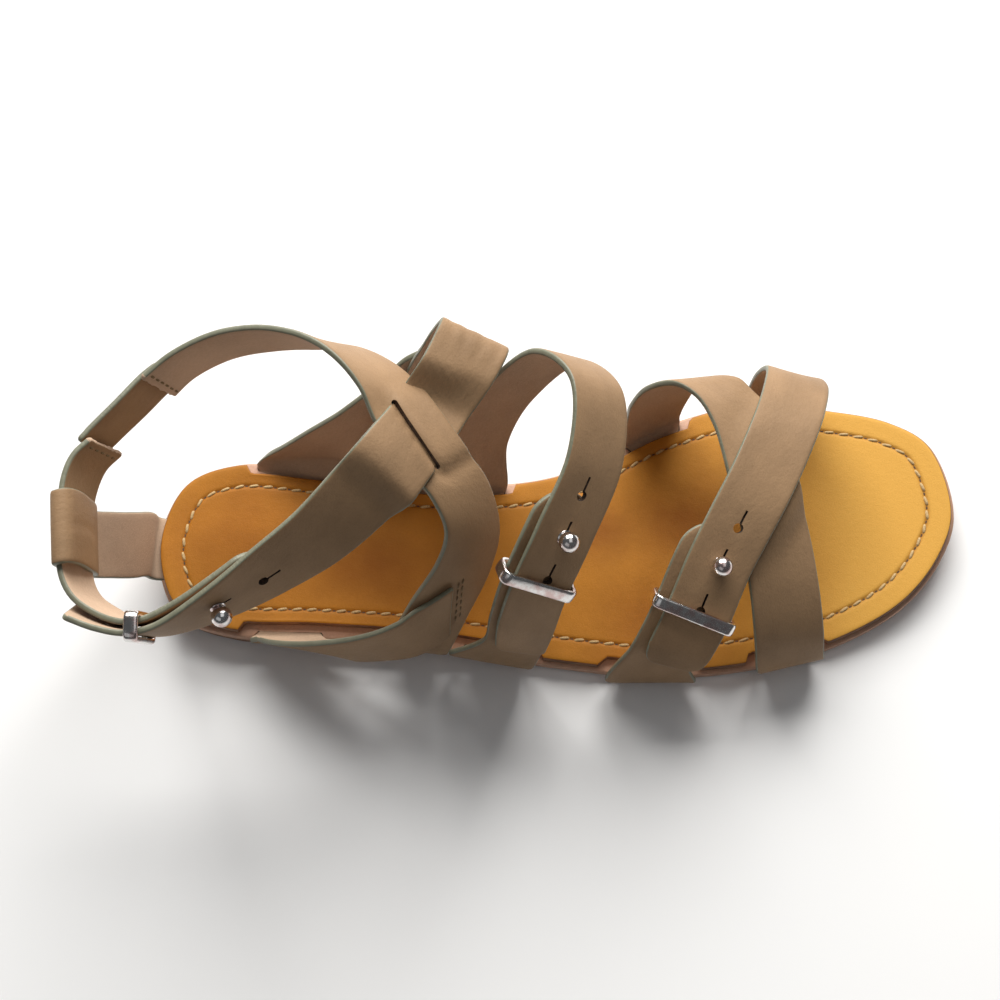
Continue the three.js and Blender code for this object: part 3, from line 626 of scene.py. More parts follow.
def ragged_ends(vertices, places, amount=0.9):
    """Roughens a blank's cut ends at the places s."""
    for place in places:
        near = np.clip(1 - np.abs(vertices[:, 0] - place) / 3, 0, 1)
        tear = [noise.noise(Vector((t * 0.9, place, 0))) + 0.6 * noise.noise(Vector((t * 2.6, place, 5)))
                for t in vertices[:, 1]]
        vertices[:, 0] += amount * near * np.array(tear)


def keyhole(s, t, angle, radius, slit, slit_half=0.35):
    """Outline of a round hole with a slit; angle is the slit's direction in the blank."""
    start = math.asin(slit_half / radius)
    turn = np.linspace(start, 2 * math.pi - start, 22)
    points = [(radius * math.cos(a), radius * math.sin(a)) for a in turn]
    if slit > 0:
        points += [(radius + slit, -slit_half), (radius + slit, slit_half)]
    c, d = math.cos(angle), math.sin(angle)
    return [(s + x * c - y * d, t + x * d + y * c) for x, y in points]


def slot_outline(s0, t0, s1, t1, half):
    """Outline of a straight cut with round ends."""
    angle = math.atan2(t1 - t0, s1 - s0)
    points = []
    for (s, t), start in (((s1, t1), angle - math.pi / 2), ((s0, t0), angle + math.pi / 2)):
        for a in np.linspace(start, start + math.pi, 6):
            points.append((s + half * math.cos(a), t + half * math.sin(a)))
    return points


def prism(outline, low=-6.0, high=6.0):
    n = len(outline)
    vertices = [(x, y, z) for z in (low, high) for x, y in outline]
    faces = [tuple(range(n))[::-1], tuple(range(n, 2 * n))]
    faces += [(i, (i + 1) % n, n + (i + 1) % n, n + i) for i in range(n)]
    return vertices, faces


def new_object(name, data):
    obj = bpy.data.objects.new(name, data)
    bpy.context.scene.collection.objects.link(obj)
    return obj


def raw_object(name, vertices, faces):
    """A new mesh object with its faces all turned outwards and no material."""
    mesh = bpy.data.meshes.new(name)
    mesh.from_pydata([tuple(v) for v in vertices], [], faces)
    mesh.validate()
    bm = bmesh.new()
    bm.from_mesh(mesh)
    bmesh.ops.recalc_face_normals(bm, faces=bm.faces)
    bm.to_mesh(mesh)
    bm.free()
    return new_object(name, mesh)


def drop_object(obj):
    mesh = obj.data
    bpy.data.objects.remove(obj)
    bpy.data.meshes.remove(mesh)


def cut_away(obj, cutter):
    """Subtracts cutter from obj and removes the cutter."""
    modifier = obj.modifiers.new("cut", "BOOLEAN")
    modifier.operation = "DIFFERENCE"
    modifier.solver = "EXACT"
    modifier.object = cutter
    bpy.context.view_layer.update()
    cut = bpy.data.meshes.new_from_object(obj.evaluated_get(bpy.context.evaluated_depsgraph_get()))
    obj.modifiers.clear()
    old = obj.data
    obj.data = cut
    bpy.data.meshes.remove(old)
    drop_object(cutter)


def ring_faces(rings, count, wrap=False, first=0):
    """Quads between rings of count vertices each; wrap joins the last ring to the first."""
    faces = []
    for k in range(rings if wrap else rings - 1):
        here, there = first + k * count, first + (k + 1) % rings * count
        for i in range(count):
            j = (i + 1) % count
            faces.append((here + i, here + j, there + j, there + i))
    return faces


def end_caps(rings, count):
    """The two flat ends of a row of rings."""
    return [tuple(range(count))[::-1], tuple(range((rings - 1) * count, rings * count))]


def joined(parts):
    """Several (vertices, faces) as one."""
    vertices, faces = [], []
    for some, quads in parts:
        base = len(vertices)
        vertices.extend(tuple(v) for v in some)
        faces.extend(tuple(i + base for i in f) for f in quads)
    return vertices, faces


def add_flat_attribute(mesh, values):
    layer = mesh.attributes.new("flat", "FLOAT_VECTOR", "POINT")
    layer.data.foreach_set("vector", np.asarray(values, np.float32).ravel())


def to_frame(points):
    """Table millimetres to metres in the frame."""
    return (np.asarray(points, float) + SHIFT) * MM


def finish_piece(obj, materials, node=None, sharp=50):
    """Gives a piece its materials and smoothing, ties it to the frame and hides the CAD node it replaces.
    """
    mesh = obj.data
    for material in materials:
        mesh.materials.append(material)
    mesh.shade_smooth()
    mesh.set_sharp_from_angle(angle=math.radians(sharp))
    mesh.update()
    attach(obj, "root")
    if node:
        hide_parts(node)
    return obj


def leather_strip(name, strip, node, seed, ends=(SQUARE, SQUARE), cuts=(), turned=None, raw_ends=()):
    """Makes one strap: a flat blank with its holes cut, bent along its path.

    ends gives the corner radius at its first and last end.
    """
    vertices, faces = strip_blank(strip, ends)
    ragged_ends(vertices, raw_ends)
    obj = raw_object(name, vertices, faces)
    if cuts:
        cut_away(obj, raw_object("cutter", *joined([prism(c) for c in cuts])))
    mesh = obj.data

    def reach_of(s, t):
        half = strip.width_at(np.atleast_1d(s)) / 2
        return np.minimum(end_distance(s, t, half, ends[0]),
                          end_distance(strip.length - s, t, half, ends[1]))

    face_finish(mesh, lambda s, t: float(reach_of(s, t)[0]), turned, raw_ends)
    flat = np.array([v.co for v in mesh.vertices], float)
    placed = to_frame(strip.place(flat[:, 0], flat[:, 1], flat[:, 2]))
    mesh.vertices.foreach_set("co", placed.astype(np.float32).ravel())
    edge_gap = reach_of(flat[:, 0], flat[:, 1])
    add_flat_attribute(mesh, np.stack([flat[:, 0] + 400 * seed, flat[:, 1], edge_gap], 1))
    return finish_piece(obj, strap_materials(), node)


# ---- thread -----------------------------------------------------------------------------


def stitch_mesh(length, radius, sink=0.25):
    """One stitch along X that dips into the leather at both ends: vertices and faces."""
    sides, steps = 8, 9
    vertices = []
    for k in range(steps):
        u = -1 + 2 * k / (steps - 1)
        r = radius * math.sqrt(max(1 - abs(u) ** 3.2, 0.02))
        lift = radius * 0.35 - (radius + sink) * abs(u) ** 4
        for i in range(sides):
            a = 2 * math.pi * i / sides
            vertices.append((u * length / 2, r * math.cos(a) * 1.05, lift + r * 0.85 * math.sin(a)))
    return np.array(vertices), ring_faces(steps, sides) + end_caps(steps, sides)


Stitch = namedtuple("Stitch", "s t")


def strap_stitches(name, strip, stitches, surface=HALF_THICK, side=1):
    """Stitches sewn at a height from a strip's middle; side -1 is its inner side."""
    shape, faces = stitch_mesh(2.3, 0.34)
    parts = []
    for stitch in stitches:
        points = strip.place(stitch.s - shape[:, 1], stitch.t + shape[:, 0], surface + side * shape[:, 2])
        parts.append((to_frame(points), faces))
    obj = raw_object(name, *joined(parts))
    return finish_piece(obj, [strap_thread_material()])


def stitch_row(s, width, pitch=3.0):
    """Even stitches straight across a strap."""
    length = width - 2 * END_STITCH_MARGIN
    count = round(length / pitch)
    return [Stitch(s, length * ((k + 0.5) / count - 0.5)) for k in range(count)]


# ---- materials --------------------------------------------------------------------------


class Nodes:
    """A small helper that adds nodes and links to one material."""

    def __init__(self, name):
        self.material = bpy.data.materials.new(name)
        self.material.use_nodes = True
        self.tree = self.material.node_tree
        self.shader = self.tree.nodes["Principled BSDF"]

    def add(self, kind, **settings):
        node = self.tree.nodes.new(kind)
        for key, value in settings.items():
            setattr(node, key, value)
        return node

    def link(self, source, target):
        self.tree.links.new(source, target)

    def set(self, node, **values):
        for key, value in values.items():
            node.inputs[key.replace("_", " ")].default_value = value
        return node

    def noise(self, vector, scale, detail=3.0, rough=0.55):
        node = self.add("ShaderNodeTexNoise")
        self.set(node, Scale=scale, Detail=detail, Roughness=rough)
        self.link(vector, node.inputs["Vector"])
        return node.outputs["Fac"]

    def ramp(self, value, stops):
        node = self.add("ShaderNodeValToRGB")
        elements = node.color_ramp.elements
        while len(elements) < len(stops):
            elements.new(0.5)
        for element, (place, colour) in zip(elements, stops):
            element.position = place
            element.color = (*colour, 1) if len(colour) == 3 else colour
        self.link(value, node.inputs["Fac"])
        return node.outputs["Color"]

    def spread(self, value, low, high, out_low, out_high):
        node = self.add("ShaderNodeMapRange")
        for key, number in (("From Min", low), ("From Max", high),
                            ("To Min", out_low), ("To Max", out_high)):
            node.inputs[key].default_value = number
        self.link(value, node.inputs["Value"])
        return node.outputs["Result"]

    def mix(self, factor, first, second, blend="MIX"):
        node = self.add("ShaderNodeMix", data_type="RGBA", blend_type=blend)
        for socket, value in ((node.inputs["Factor"], factor), (node.inputs["A"], first),
                              (node.inputs["B"], second)):
            if isinstance(value, bpy.types.NodeSocket):
                self.link(value, socket)
            elif isinstance(value, (int, float)):
                socket.default_value = value
            else:
                socket.default_value = (*value[:3], 1)
        return node.outputs["Result"]

    def maths(self, operation, first, second):
        node = self.add("ShaderNodeMath", operation=operation)
        for socket, value in zip(node.inputs, (first, second)):
            if isinstance(value, bpy.types.NodeSocket):
                self.link(value, socket)
            else:
                socket.default_value = value
        return node.outputs["Value"]

    def bump(self, height, distance, strength=1.0):
        node = self.add("ShaderNodeBump")
        self.set(node, Strength=strength, Distance=distance)
        self.link(height, node.inputs["Height"])
        self.link(node.outputs["Normal"], self.shader.inputs["Normal"])

    def flat(self):
        """Vector kept with the mesh: place on the flat leather and a third value of the piece."""
        return self.add("ShaderNodeAttribute", attribute_name="flat").outputs["Vector"]

    def object_place(self):
        return self.add("ShaderNodeTexCoord").outputs["Object"]

    def split(self, vector, axis):
        node = self.add("ShaderNodeSeparateXYZ")
        self.link(vector, node.inputs["Vector"])
        return node.outputs[axis]

    def finish(self, base, roughness, specular=0.5):
        """Connects the colour and sets how rough and how glossy the surface is."""
        self.link(base, self.shader.inputs["Base Color"])
        if isinstance(roughness, bpy.types.NodeSocket):
            self.link(roughness, self.shader.inputs["Roughness"])
        else:
            self.set(self.shader, Roughness=roughness)
        self.set(self.shader, Specular_IOR_Level=specular)


def shade(colour, share):
    return tuple(min(c * share, 1.0) for c in colour)


def material(name):
    """Turns a function that fills a material's nodes into one that gives the material."""

    def wrap(fill):
        def built():
            if name not in bpy.data.materials:
                fill(Nodes(name), bpy.context.scene.sandal_colours)
            return bpy.data.materials[name]

        return built

    return wrap


@material("strap_grain")
def strap_outer_material(n, colours):
    """Smooth taupe leather: fine pores, cloudy colour, darker along the edges."""
    colour = colours.strap
    flat = n.flat()
    clouds = n.noise(flat, 0.035, 4.0, 0.6)
    base = n.ramp(clouds, [(0.3, shade(colour, 0.82)), (0.5, colour), (0.72, shade(colour, 1.16))])
    pores = n.noise(flat, 1.7, 4.0, 0.7)
    speck = n.ramp(pores, [(0.34, (0.80, 0.79, 0.78)), (0.52, (1, 1, 1))])
    base = n.mix(0.55, base, n.mix(1.0, base, speck, "MULTIPLY"))
    rim = n.spread(n.split(flat, "Z"), 0.3, 1.6, 1.0, 0.0)
    base = n.mix(n.maths("MULTIPLY", rim, 0.45), base, shade(colour, 0.72))
    n.finish(base, n.spread(clouds, 0.3, 0.7, 0.56, 0.46), 0.16)
    grain = n.maths("ADD", n.maths("MULTIPLY", pores, 0.6), n.noise(flat, 0.55, 3.0, 0.6))
    n.bump(grain, 0.00022, 0.55)


@material("strap_lining")
def lining_material(n, colours):
    """Flesh side of the straps: pale, matt and fibrous."""
    colour = colours.lining
    flat = n.flat()
    fibre = n.noise(flat, 1.1, 6.0, 0.75)
    clouds = n.noise(flat, 0.05, 3.0, 0.6)
    base = n.ramp(clouds, [(0.3, shade(colour, 0.86)), (0.7, shade(colour, 1.1))])
    base = n.mix(0.35, base, n.ramp(fibre, [(0.35, shade(colour, 0.7)), (0.65, shade(colour, 1.12))]))
    n.finish(base, 0.85, 0.2)
    n.bump(fibre, 0.0003, 0.5)


@material("edge_paint")
def edge_paint_material(n, colours):
    """Grey-green paint on the cut edges."""
    flat = n.flat()
    blotch = n.noise(flat, 0.3, 4.0, 0.6)
    base = n.ramp(blotch, [(0.3, shade(colours.edge, 0.86)), (0.7, shade(colours.edge, 1.12))])
    n.finish(base, 0.42, 0.45)
    n.bump(n.noise(flat, 1.4, 3.0), 0.0003, 0.4)


@material("hole_walls_painted_shade")
def hole_wall_shade_material(n, colours):
    """Painted shade on the cut walls of a hole or slit, nearly black."""
    speck = n.noise(n.flat(), 2.0)
    n.finish(n.ramp(speck, [(0.3, (0.03, 0.02, 0.014)), (0.7, (0.09, 0.055, 0.035))]), 0.9)


def strap_materials():
    return [strap_outer_material(), lining_material(), edge_paint_material(), hole_wall_shade_material()]


def twisted_thread(n, colour):
    twist = n.noise(n.object_place(), 2600, 2.0)
    n.finish(n.ramp(twist, [(0.35, shade(colour, 0.72)), (0.65, shade(colour, 1.12))]), 0.75)
    n.bump(twist, 0.0002, 0.5)


@material("insole_thread")
def insole_thread_material(n, colours):
    """Pale waxed thread."""
    twisted_thread(n, shade(colours.thread, 1.0))


@material("strap_thread")
def strap_thread_material(n, colours):
    """The same thread, dyed darker."""
    twisted_thread(n, shade(colours.thread, 0.42))


@material("polished_metal")
def metal_material(n, colours):
    """Bright plated metal with a faint rosy haze."""
    colour = colours.metal
    n.set(n.shader, Metallic=1.0)
    place = n.object_place()
    haze = n.noise(place, 320, 3.0)
    rosy = (colour[0] * 0.80, colour[1] * 0.62, colour[2] * 0.60)
    n.finish(n.ramp(haze, [(0.36, rosy), (0.56, colour)]), n.spread(haze, 0.3, 0.7, 0.26, 0.13))
    n.bump(n.noise(place, 140, 2.0), 0.0006, 0.35)


@material("insole_grain")
def insole_material(n, colours):
    """Smooth mustard tan leather, paler at the toe; darker where the foot has pressed it, at the heel,
    along the stitch groove and along the outer side, where it is partly wear and partly painted shadow of
    the straps.
    """
    colour = colours.insole
    flat = n.flat()
    clouds = n.noise(flat, 0.028, 4.0, 0.55)
    base = n.ramp(clouds, [(0.3, shade(colour, 0.80)), (0.7, shade(colour, 1.14))])
    uneven_x = n.maths("ADD", n.split(flat, "X"), n.maths("MULTIPLY", clouds, 40))
    pale = (colour[0] * 1.35, colour[1] * 1.75, colour[2] * 2.6)
    base = n.mix(n.spread(uneven_x, 52, 116, 0, 1), base, pale)
    # Darker patches: pressed wear at ball and toes, a darker heel and groove, partly painted strap shadow
    # on the outer side.
    patch = n.maths("MULTIPLY", n.split(flat, "Z"), n.spread(clouds, 0.35, 0.7, 1.15, 0.7))
    base = n.mix(patch, base, (colour[0] * 0.42, colour[1] * 0.27, colour[2] * 0.22))
    pores = n.noise(flat, 2.2, 4.0, 0.7)
    speck = n.ramp(pores, [(0.36, (0.8, 0.78, 0.74)), (0.55, (1, 1, 1))])
    base = n.mix(0.4, base, n.mix(1.0, base, speck, "MULTIPLY"))
    n.finish(base, n.spread(clouds, 0.3, 0.7, 0.54, 0.46), 0.12)
    n.bump(n.maths("ADD", pores, n.noise(flat, 0.5, 3.0)), 0.00018, 0.5)


@material("insole_edge")
def insole_edge_material(n, colours):
    """Burnished dark edge of the insole."""
    clouds = n.noise(n.object_place(), 120, 4.0, 0.6)
    n.finish(n.ramp(clouds, [(0.3, (0.10, 0.040, 0.016)), (0.7, (0.25, 0.110, 0.045))]), 0.45)
    n.bump(clouds, 0.0002, 0.4)


@material("awl_hole_painted_shade")
def awl_hole_shade_material(n, colours):
    """Painted shade of the awl holes between the stitches, on small dark discs."""
    speck = n.noise(n.object_place(), 900)
    n.finish(n.ramp(speck, [(0.3, (0.045, 0.020, 0.008)), (0.7, (0.11, 0.050, 0.020))]), 0.8)


@material("outsole_grain")
def outsole_material(n, colours):
    """Natural sole leather with short fibres."""
    colour = colours.outsole
    place = n.object_place()
    clouds = n.noise(place, 35, 4.0, 0.6)
    fibre = n.noise(place, 900, 4.0, 0.7)
    base = n.ramp(clouds, [(0.3, shade(colour, 0.85)), (0.7, shade(colour, 1.1))])
    base = n.mix(0.25, base, n.ramp(fibre, [(0.35, shade(colour, 0.6)), (0.65, shade(colour, 1.1))]))
    n.finish(base, 0.5, 0.4)
    n.bump(fibre, 0.0002, 0.4)


@material("heel_grain")
def heel_material(n, colours):
    """Stacked leather: fine level layers, browner than the outsole."""
    scale = n.add("ShaderNodeMapping")
    scale.inputs["Scale"].default_value = (60, 60, 1400)
    n.link(n.object_place(), scale.inputs["Vector"])
    layers = n.noise(scale.outputs["Vector"], 1.0, 4.0, 0.6)
    browns = [(0.3, (0.16, 0.075, 0.04)), (0.5, (0.30, 0.155, 0.085)), (0.7, (0.42, 0.24, 0.14))]
    n.finish(n.ramp(layers, browns), 0.42)
    n.bump(layers, 0.0003, 0.5)


# ---- sole pieces ------------------------------------------------------------------------


def ring_at(inset):
    """The outline moved inwards by an inset, one number or one for each point."""
    return RING + RING_IN * np.broadcast_to(np.asarray(inset, float), (len(RING),))[:, None]


def inside_polygon(points, polygon):
    x, y = points[:, 0], points[:, 1]
    inside = np.zeros(len(points), bool)
    for (x0, y0), (x1, y1) in zip(polygon, np.roll(polygon, -1, 0)):
        crosses = (y0 > y) != (y1 > y)
        if crosses.any():
            at = (x1 - x0) * (y - y0) / ((y1 - y0) if y1 != y0 else 1e-12) + x0
            inside ^= crosses & (x < at)
    return inside


def filled(ring, spacing, margin):
    """Triangles that fill a ring: the added inner points, and faces that count ring points first."""
    low, high = ring.min(0), ring.max(0)
    rows = np.arange(low[1], high[1], spacing * 0.866)
    grid = np.array([(x + (k % 2) * spacing / 2, y) for k, y in enumerate(rows)
                     for x in np.arange(low[0], high[0], spacing)])
    centre_gap = np.array([np.min(np.hypot(*(ring - p).T)) for p in grid])
    grid = grid[inside_polygon(grid, ring) & (centre_gap > margin)]
    n = len(ring)
    points = [Vector(p) for p in np.vstack([ring, grid])]
    edges = [(i, (i + 1) % n) for i in range(n)]
    _, _, faces, origin, _, _ = geometry.delaunay_2d_cdt(points, edges, [], 1, 1e-5)
    back = [o[0] for o in origin]
    return grid, [tuple(back[i] for i in f) for f in faces]


def slab(levels, spacing):
    """A sole layer from rings, bottom first. Each level is (inset, height of its points)."""
    count = len(RING)
    vertices = []
    for inset, height in levels:
        ring = ring_at(inset)
        vertices.extend(np.column_stack([ring, height(ring)]))
    faces = ring_faces(len(levels), count)
    for level, flip in ((len(levels) - 1, False), (0, True)):
        ring = np.array([v[:2] for v in vertices[level * count:(level + 1) * count]])
        grid, triangles = filled(ring, spacing, spacing * 0.5)
        base = len(vertices)
        vertices.extend(np.column_stack([grid, levels[level][1](grid)]))
        for triangle in triangles:
            ids = tuple(level * count + i if i < count else base + i - count for i in triangle)
            faces.append(ids[::-1] if flip else ids)
    return np.array(vertices), faces


def notch_mask():
    """1 at the points of the outline where a strap goes down beside the insole."""
    rear, front = ROOTS["rear_lateral"], ROOTS["instep_over"]
    between = Root((rear.x + front.x) / 2, -1, front.x - rear.x)
    mask = np.zeros(len(RING))
    for root in (*ROOTS.values(), between):
        reach = np.abs(RING[:, 0] - root.x) - (root.width / 2 + 1.2)
        mask = np.maximum(mask, np.where(RING_SIDE == root.side, 1 - smooth((reach + 0.8) / 1.6), 0))
    return mask


Patch = namedtuple("Patch", "x y along across depth dark")
# Hollows and darker patches: ball and toes pressed by the foot, heel hollowed and darker, outer side
# partly wear, partly painted strap shadow.
PATCHES = [
    Patch(48, 8, 20, 15, 0.5, 0.75),
    Patch(30, -22, 16, 11, 0.3, 0.55),
    Patch(12, 6, 16, 10, 0.2, 0.55),
    Patch(66, 28, 12, 9, 0.3, 0.35),
    # Outer side, not hollowed: darker partly from wear, partly as painted shadow of the straps.
    Patch(36, -36, 30, 7, 0.0, 0.50),
    Patch(-60, -6, 26, 15, 0.2, 0.55),
    Patch(-92, 2, 34, 24, 0.5, 0.62),
]


def patch_fields(x, y):
    depth, dark = np.zeros(len(x)), np.zeros(len(x))
    for p in PATCHES:
        bell = np.exp(-((x - p.x) / p.along) ** 2 - ((y - p.y) / p.across) ** 2)
        depth += p.depth * bell
        dark = np.maximum(dark, p.dark * bell)
    return depth, dark


# ---- metal ------------------------------------------------------------------------------


def lathe(profile, sides=40):
    """Vertices and faces of a profile of (radius, height) turned about Z; both ends on the axis."""
    vertices = [(0, 0, profile[0][1])]
    for r, z in profile[1:-1]:
        for i in range(sides):
            a = 2 * math.pi * i / sides
            vertices.append((r * math.cos(a), r * math.sin(a), z))
    vertices.append((0, 0, profile[-1][1]))
    rings = len(profile) - 2
    top = 1 + (rings - 1) * sides
    faces = ring_faces(rings, sides, first=1)
    for i in range(sides):
        j = (i + 1) % sides
        faces += [(0, 1 + j, 1 + i), (top + i, top + j, len(vertices) - 1)]
    return np.array(vertices), faces


def seat(closing, row):
    """Origin and the directions across, backwards and out of a closing strap at a row."""
    strip = STRIPS[closing.strip]
    s = strip.s_of(row)
    origin = strip.place([s], [0], [0])[0]
    _, _, across, out = (v[0] for v in strip.station(np.array([row])))
    ahead = unit(np.cross(out, across))
    return origin, across, ahead, out


def ball_stud(name, closing, node):
    """A ball on a collar, with its shank through strap and billet and a flat base inside."""
    lift, shank, base, base_thick = 0.7, 1.3, 3.0, 0.8
    collar, neck = 2.3, 1.5
    inner, outer = -closing.depth - HALF_THICK - lift, HALF_THICK + 0.25
    low = inner - base_thick
    profile = [(0, low), (base * 0.9, low), (base, inner - base_thick * 0.5), (base * 0.9, inner),
               (shank, inner + 0.1), (shank, outer - 0.3), (collar - 0.15, outer - 0.15),
               (collar, outer + 0.1), (collar - 0.15, outer + 0.34), (neck, outer + 0.5)]
    sunk = 0.86
    centre = outer + 0.5 + BALL_RADIUS * sunk
    for a in np.linspace(math.asin(-sunk), math.pi / 2, 18)[:-1]:
        profile.append((BALL_RADIUS * math.cos(a), centre + BALL_RADIUS * math.sin(a)))
    profile.append((0, centre + BALL_RADIUS))
    vertices, faces = lathe(profile)
    origin, across, ahead, out = seat(closing, closing.stud)
    placed = origin + vertices @ np.array([across, ahead, out])
    obj = raw_object(name, to_frame(placed), faces)
    return finish_piece(obj, [metal_material()], node, 60)


def keeper_loop(name, closing, node):
    """A metal keeper: a half-round bar bent into a rectangle round strap and billet."""
    wall, length, corner = 1.3, 4.0, 1.5
    clear = closing.depth + 2 * HALF_THICK + 0.7
    strip, extra = STRIPS[closing.strip], closing.keeper_extra
    width = float(strip.width_at([strip.s_of(closing.keeper)])[0])
    a = width / 2 + 0.3 + extra / 2 + wall / 2
    b = clear / 2 + wall / 2
    path = []
    for cx, cy, start in ((a - corner, b - corner, 0), (corner - a, b - corner, 90),
                          (corner - a, corner - b, 180), (a - corner, corner - b, 270)):
        for angle in np.radians(start + np.linspace(0, 90, 7)):
            normal = np.array([math.cos(angle), math.sin(angle)])
            path.append((np.array([cx, cy]) + corner * normal, normal))
    section = []
    for angle in np.linspace(0, 2 * math.pi, 20, endpoint=False):
        c, d = math.cos(angle), math.sin(angle)
        bulge = (0.62 + 0.42 * (d > 0)) * np.sign(d) * abs(d) ** 0.5
        section.append((length / 2 * np.sign(c) * abs(c) ** 0.5, bulge))
    vertices = []
    for point, normal in path:
        for y, r in section:
            x, z = point + normal * r
            vertices.append((x, y, z))
    faces = ring_faces(len(path), len(section), wrap=True)
    origin, across, ahead, out = seat(closing, closing.keeper)
    origin = origin - across * extra / 2 - out * closing.depth / 2
    placed = origin + np.array(vertices) @ np.array([across, ahead, out])
    obj = raw_object(name, to_frame(placed), faces)
    return finish_piece(obj, [metal_material()], node, 60)


# ---- the straps of this sandal ------------------------------------------------------------


def lay_out_straps():
    """Every strip of the sandal by name, laid along its rows."""
    strips = {
        "toe_over": Strip(cut_narrower(root_rows(ROOTS["toe_over"]) + TOE_OVER, CUTS["toe_over"])),
        "toe_under": Strip(root_rows(ROOTS["toe_under"]) + TOE_UNDER
                           + root_rows(ROOTS["toe_under_lateral"])[::-1]),
        "midfoot": Strip(root_rows(ROOTS["midfoot"]) + cut_narrower(MIDFOOT, CUTS["midfoot"])),
        "instep_under": Strip(root_rows(ROOTS["instep_under"]) + INSTEP_UNDER),
        "instep_over": Strip(cut_narrower(INSTEP_OVER, CUTS["instep_over"])
                             + root_rows(ROOTS["instep_over"])[::-1]),
        "rear_lateral": Strip(REAR_LATERAL + root_rows(ROOTS["rear_lateral"], 3)[::-1]),
        "rear_medial": Strip(root_rows(ROOTS["rear_medial"], 3) + REAR_MEDIAL),
        "heel_strap": Strip(heel_root_rows() + HEEL_STRAP),
        "ankle_link": Strip(ANKLE_LINK, LINK_WIDTH),
    }
    for name, closing in CLOSINGS.items():
        billet = f"{name}_billet"
        rest = root_rows(ROOTS[billet])[::-1] if billet in ROOTS else ANKLE_BILLET
        strips[billet] = Strip(rows_under(strips, closing) + rest, BILLET_WIDTH)
    return strips


REAR_LIFT = 2.15
# Puckers of the lower instep strap where the woven one presses on it: line, width, depth.
WEAVE_CREASES = [
    (97, -6, 88, -7.5, 1.3, 0.22),
    (98, -2, 87, -2.5, 1.5, 0.26),
    (98.5, 2.5, 89, 3.2, 1.3, 0.24),
    (98, 6.5, 91, 8.2, 1.2, 0.20),
]
# The slit in the upper instep strap that the lower one is woven through.
SLIT_T = -2.0
SLIT_S = (86.0, 107.5)
SLIT_HALF = 0.8
# The fold of the upper strap beyond the slit's front end: line, width, depth.
SLIT_DENT = (110.5, -0.5, 108.5, 8.5, 2.4, 1.0)
# How much of the ankle billet shows outer leather where its end is folded back.
FOLD_LENGTH = 34


def settle_straps(strips):
    """Adds the waves, creases and crossings that the straps have on the sandal."""
    for seed, (name, strip) in enumerate(sorted(strips.items())):
        strip.bends.append(waves(seed * 3.7, 0.25 if "billet" in name or "link" in name else 0.45))
    over, under = strips["toe_over"], strips["toe_under"]
    under.settle = lie_against(Surface(over, 4, 11), level_at(-2.25))
    weave_over = strips["instep_over"]
    surface = Surface(weave_over, 5, 12)
    middle = sum(SLIT_S) / 2
    reach = (SLIT_S[1] - SLIT_S[0]) / 2

    def spread_at_slit(s, t):
        near = 1 - smooth((np.abs(s - middle) - reach * 0.75) / (reach * 0.9))
        return near * np.where(t > SLIT_T, 0.95, -0.95) * smooth(np.abs(t - SLIT_T) / 1.6)

    def weave(s, t):
        return 1.25 - 2.5 * smooth((t - SLIT_T + 3.0) / 3.6)

    strips["instep_under"].settle = lie_against(surface, weave, 22.0)
    weave_over.bends.append(spread_at_slit)
    strips["rear_lateral"].settle = lie_against(surface, level_at(REAR_LIFT), 7.0)
    stem = Surface(strips["instep_under"], 3.5, 6)
    strips["rear_medial"].settle = lie_against(stem, level_at(REAR_LIFT), 7.0)


STRIPS = lay_out_straps()
settle_straps(STRIPS)


# ---- details of the closing straps --------------------------------------------------------


def keyhole_cuts(context, closing):
    """Keyhole outlines of a closing strap, their slits towards its root."""
    sizes = context.scene.sandal_sizes
    radius, longest = sizes.keyhole / MM / 2, sizes.slit / MM
    stud = STRIPS[closing.strip].s_of(closing.stud)
    return [keyhole(stud + hole.s, hole.t, math.pi, radius, min(hole.slit, longest))
            for hole in closing.holes]


def press_keyholes(closing):
    """A soft dent of the leather at each keyhole."""
    strip = STRIPS[closing.strip]
    stud = strip.s_of(closing.stud)
    for hole in closing.holes:
        strip.bends.append(dent(stud + hole.s, hole.t, stud + hole.s - 3, hole.t, 2.2, 0.22))


def billet_hole(billet, closing):
    """The hole in a billet that sits under the strap's stud."""
    strap = STRIPS[closing.strip]
    target = strap.place([strap.s_of(closing.stud)], [0], [0])[0]
    s = np.arange(2, billet.length, 0.25)
    t = np.arange(-6, 6.1, 0.25)
    grid_s, grid_t = (g.ravel() for g in np.meshgrid(s, t, indexing="ij"))
    gap = np.linalg.norm(billet.place(grid_s, grid_t, 0 * grid_s) - target, axis=1)
    best = gap.argmin()
    return [keyhole(grid_s[best], grid_t[best], 0, 1.75, 0, 0.2)]


def lay_closing_strap(context, closing_name, piece, node, seed):
    """A closing strap with its keyholes, rounded at the end that goes into the sole."""
    closing = CLOSINGS[closing_name]
    press_keyholes(closing)
    cuts = keyhole_cuts(context, closing)
    leather_strip(piece, STRIPS[closing.strip], node, seed, (SQUARE, ROUNDED), cuts)


def lay_billet(closing_name, seed, last_end=SQUARE, **finish):
    """The billet under a closing strap, with a round tip and the hole for the stud."""
    billet = STRIPS[f"{closing_name}_billet"]
    leather_strip(f"{closing_name}_billet_leather", billet, f"{closing_name}_billet", seed,
                  (BILLET_WIDTH / 2, last_end), billet_hole(billet, CLOSINGS[closing_name]), **finish)


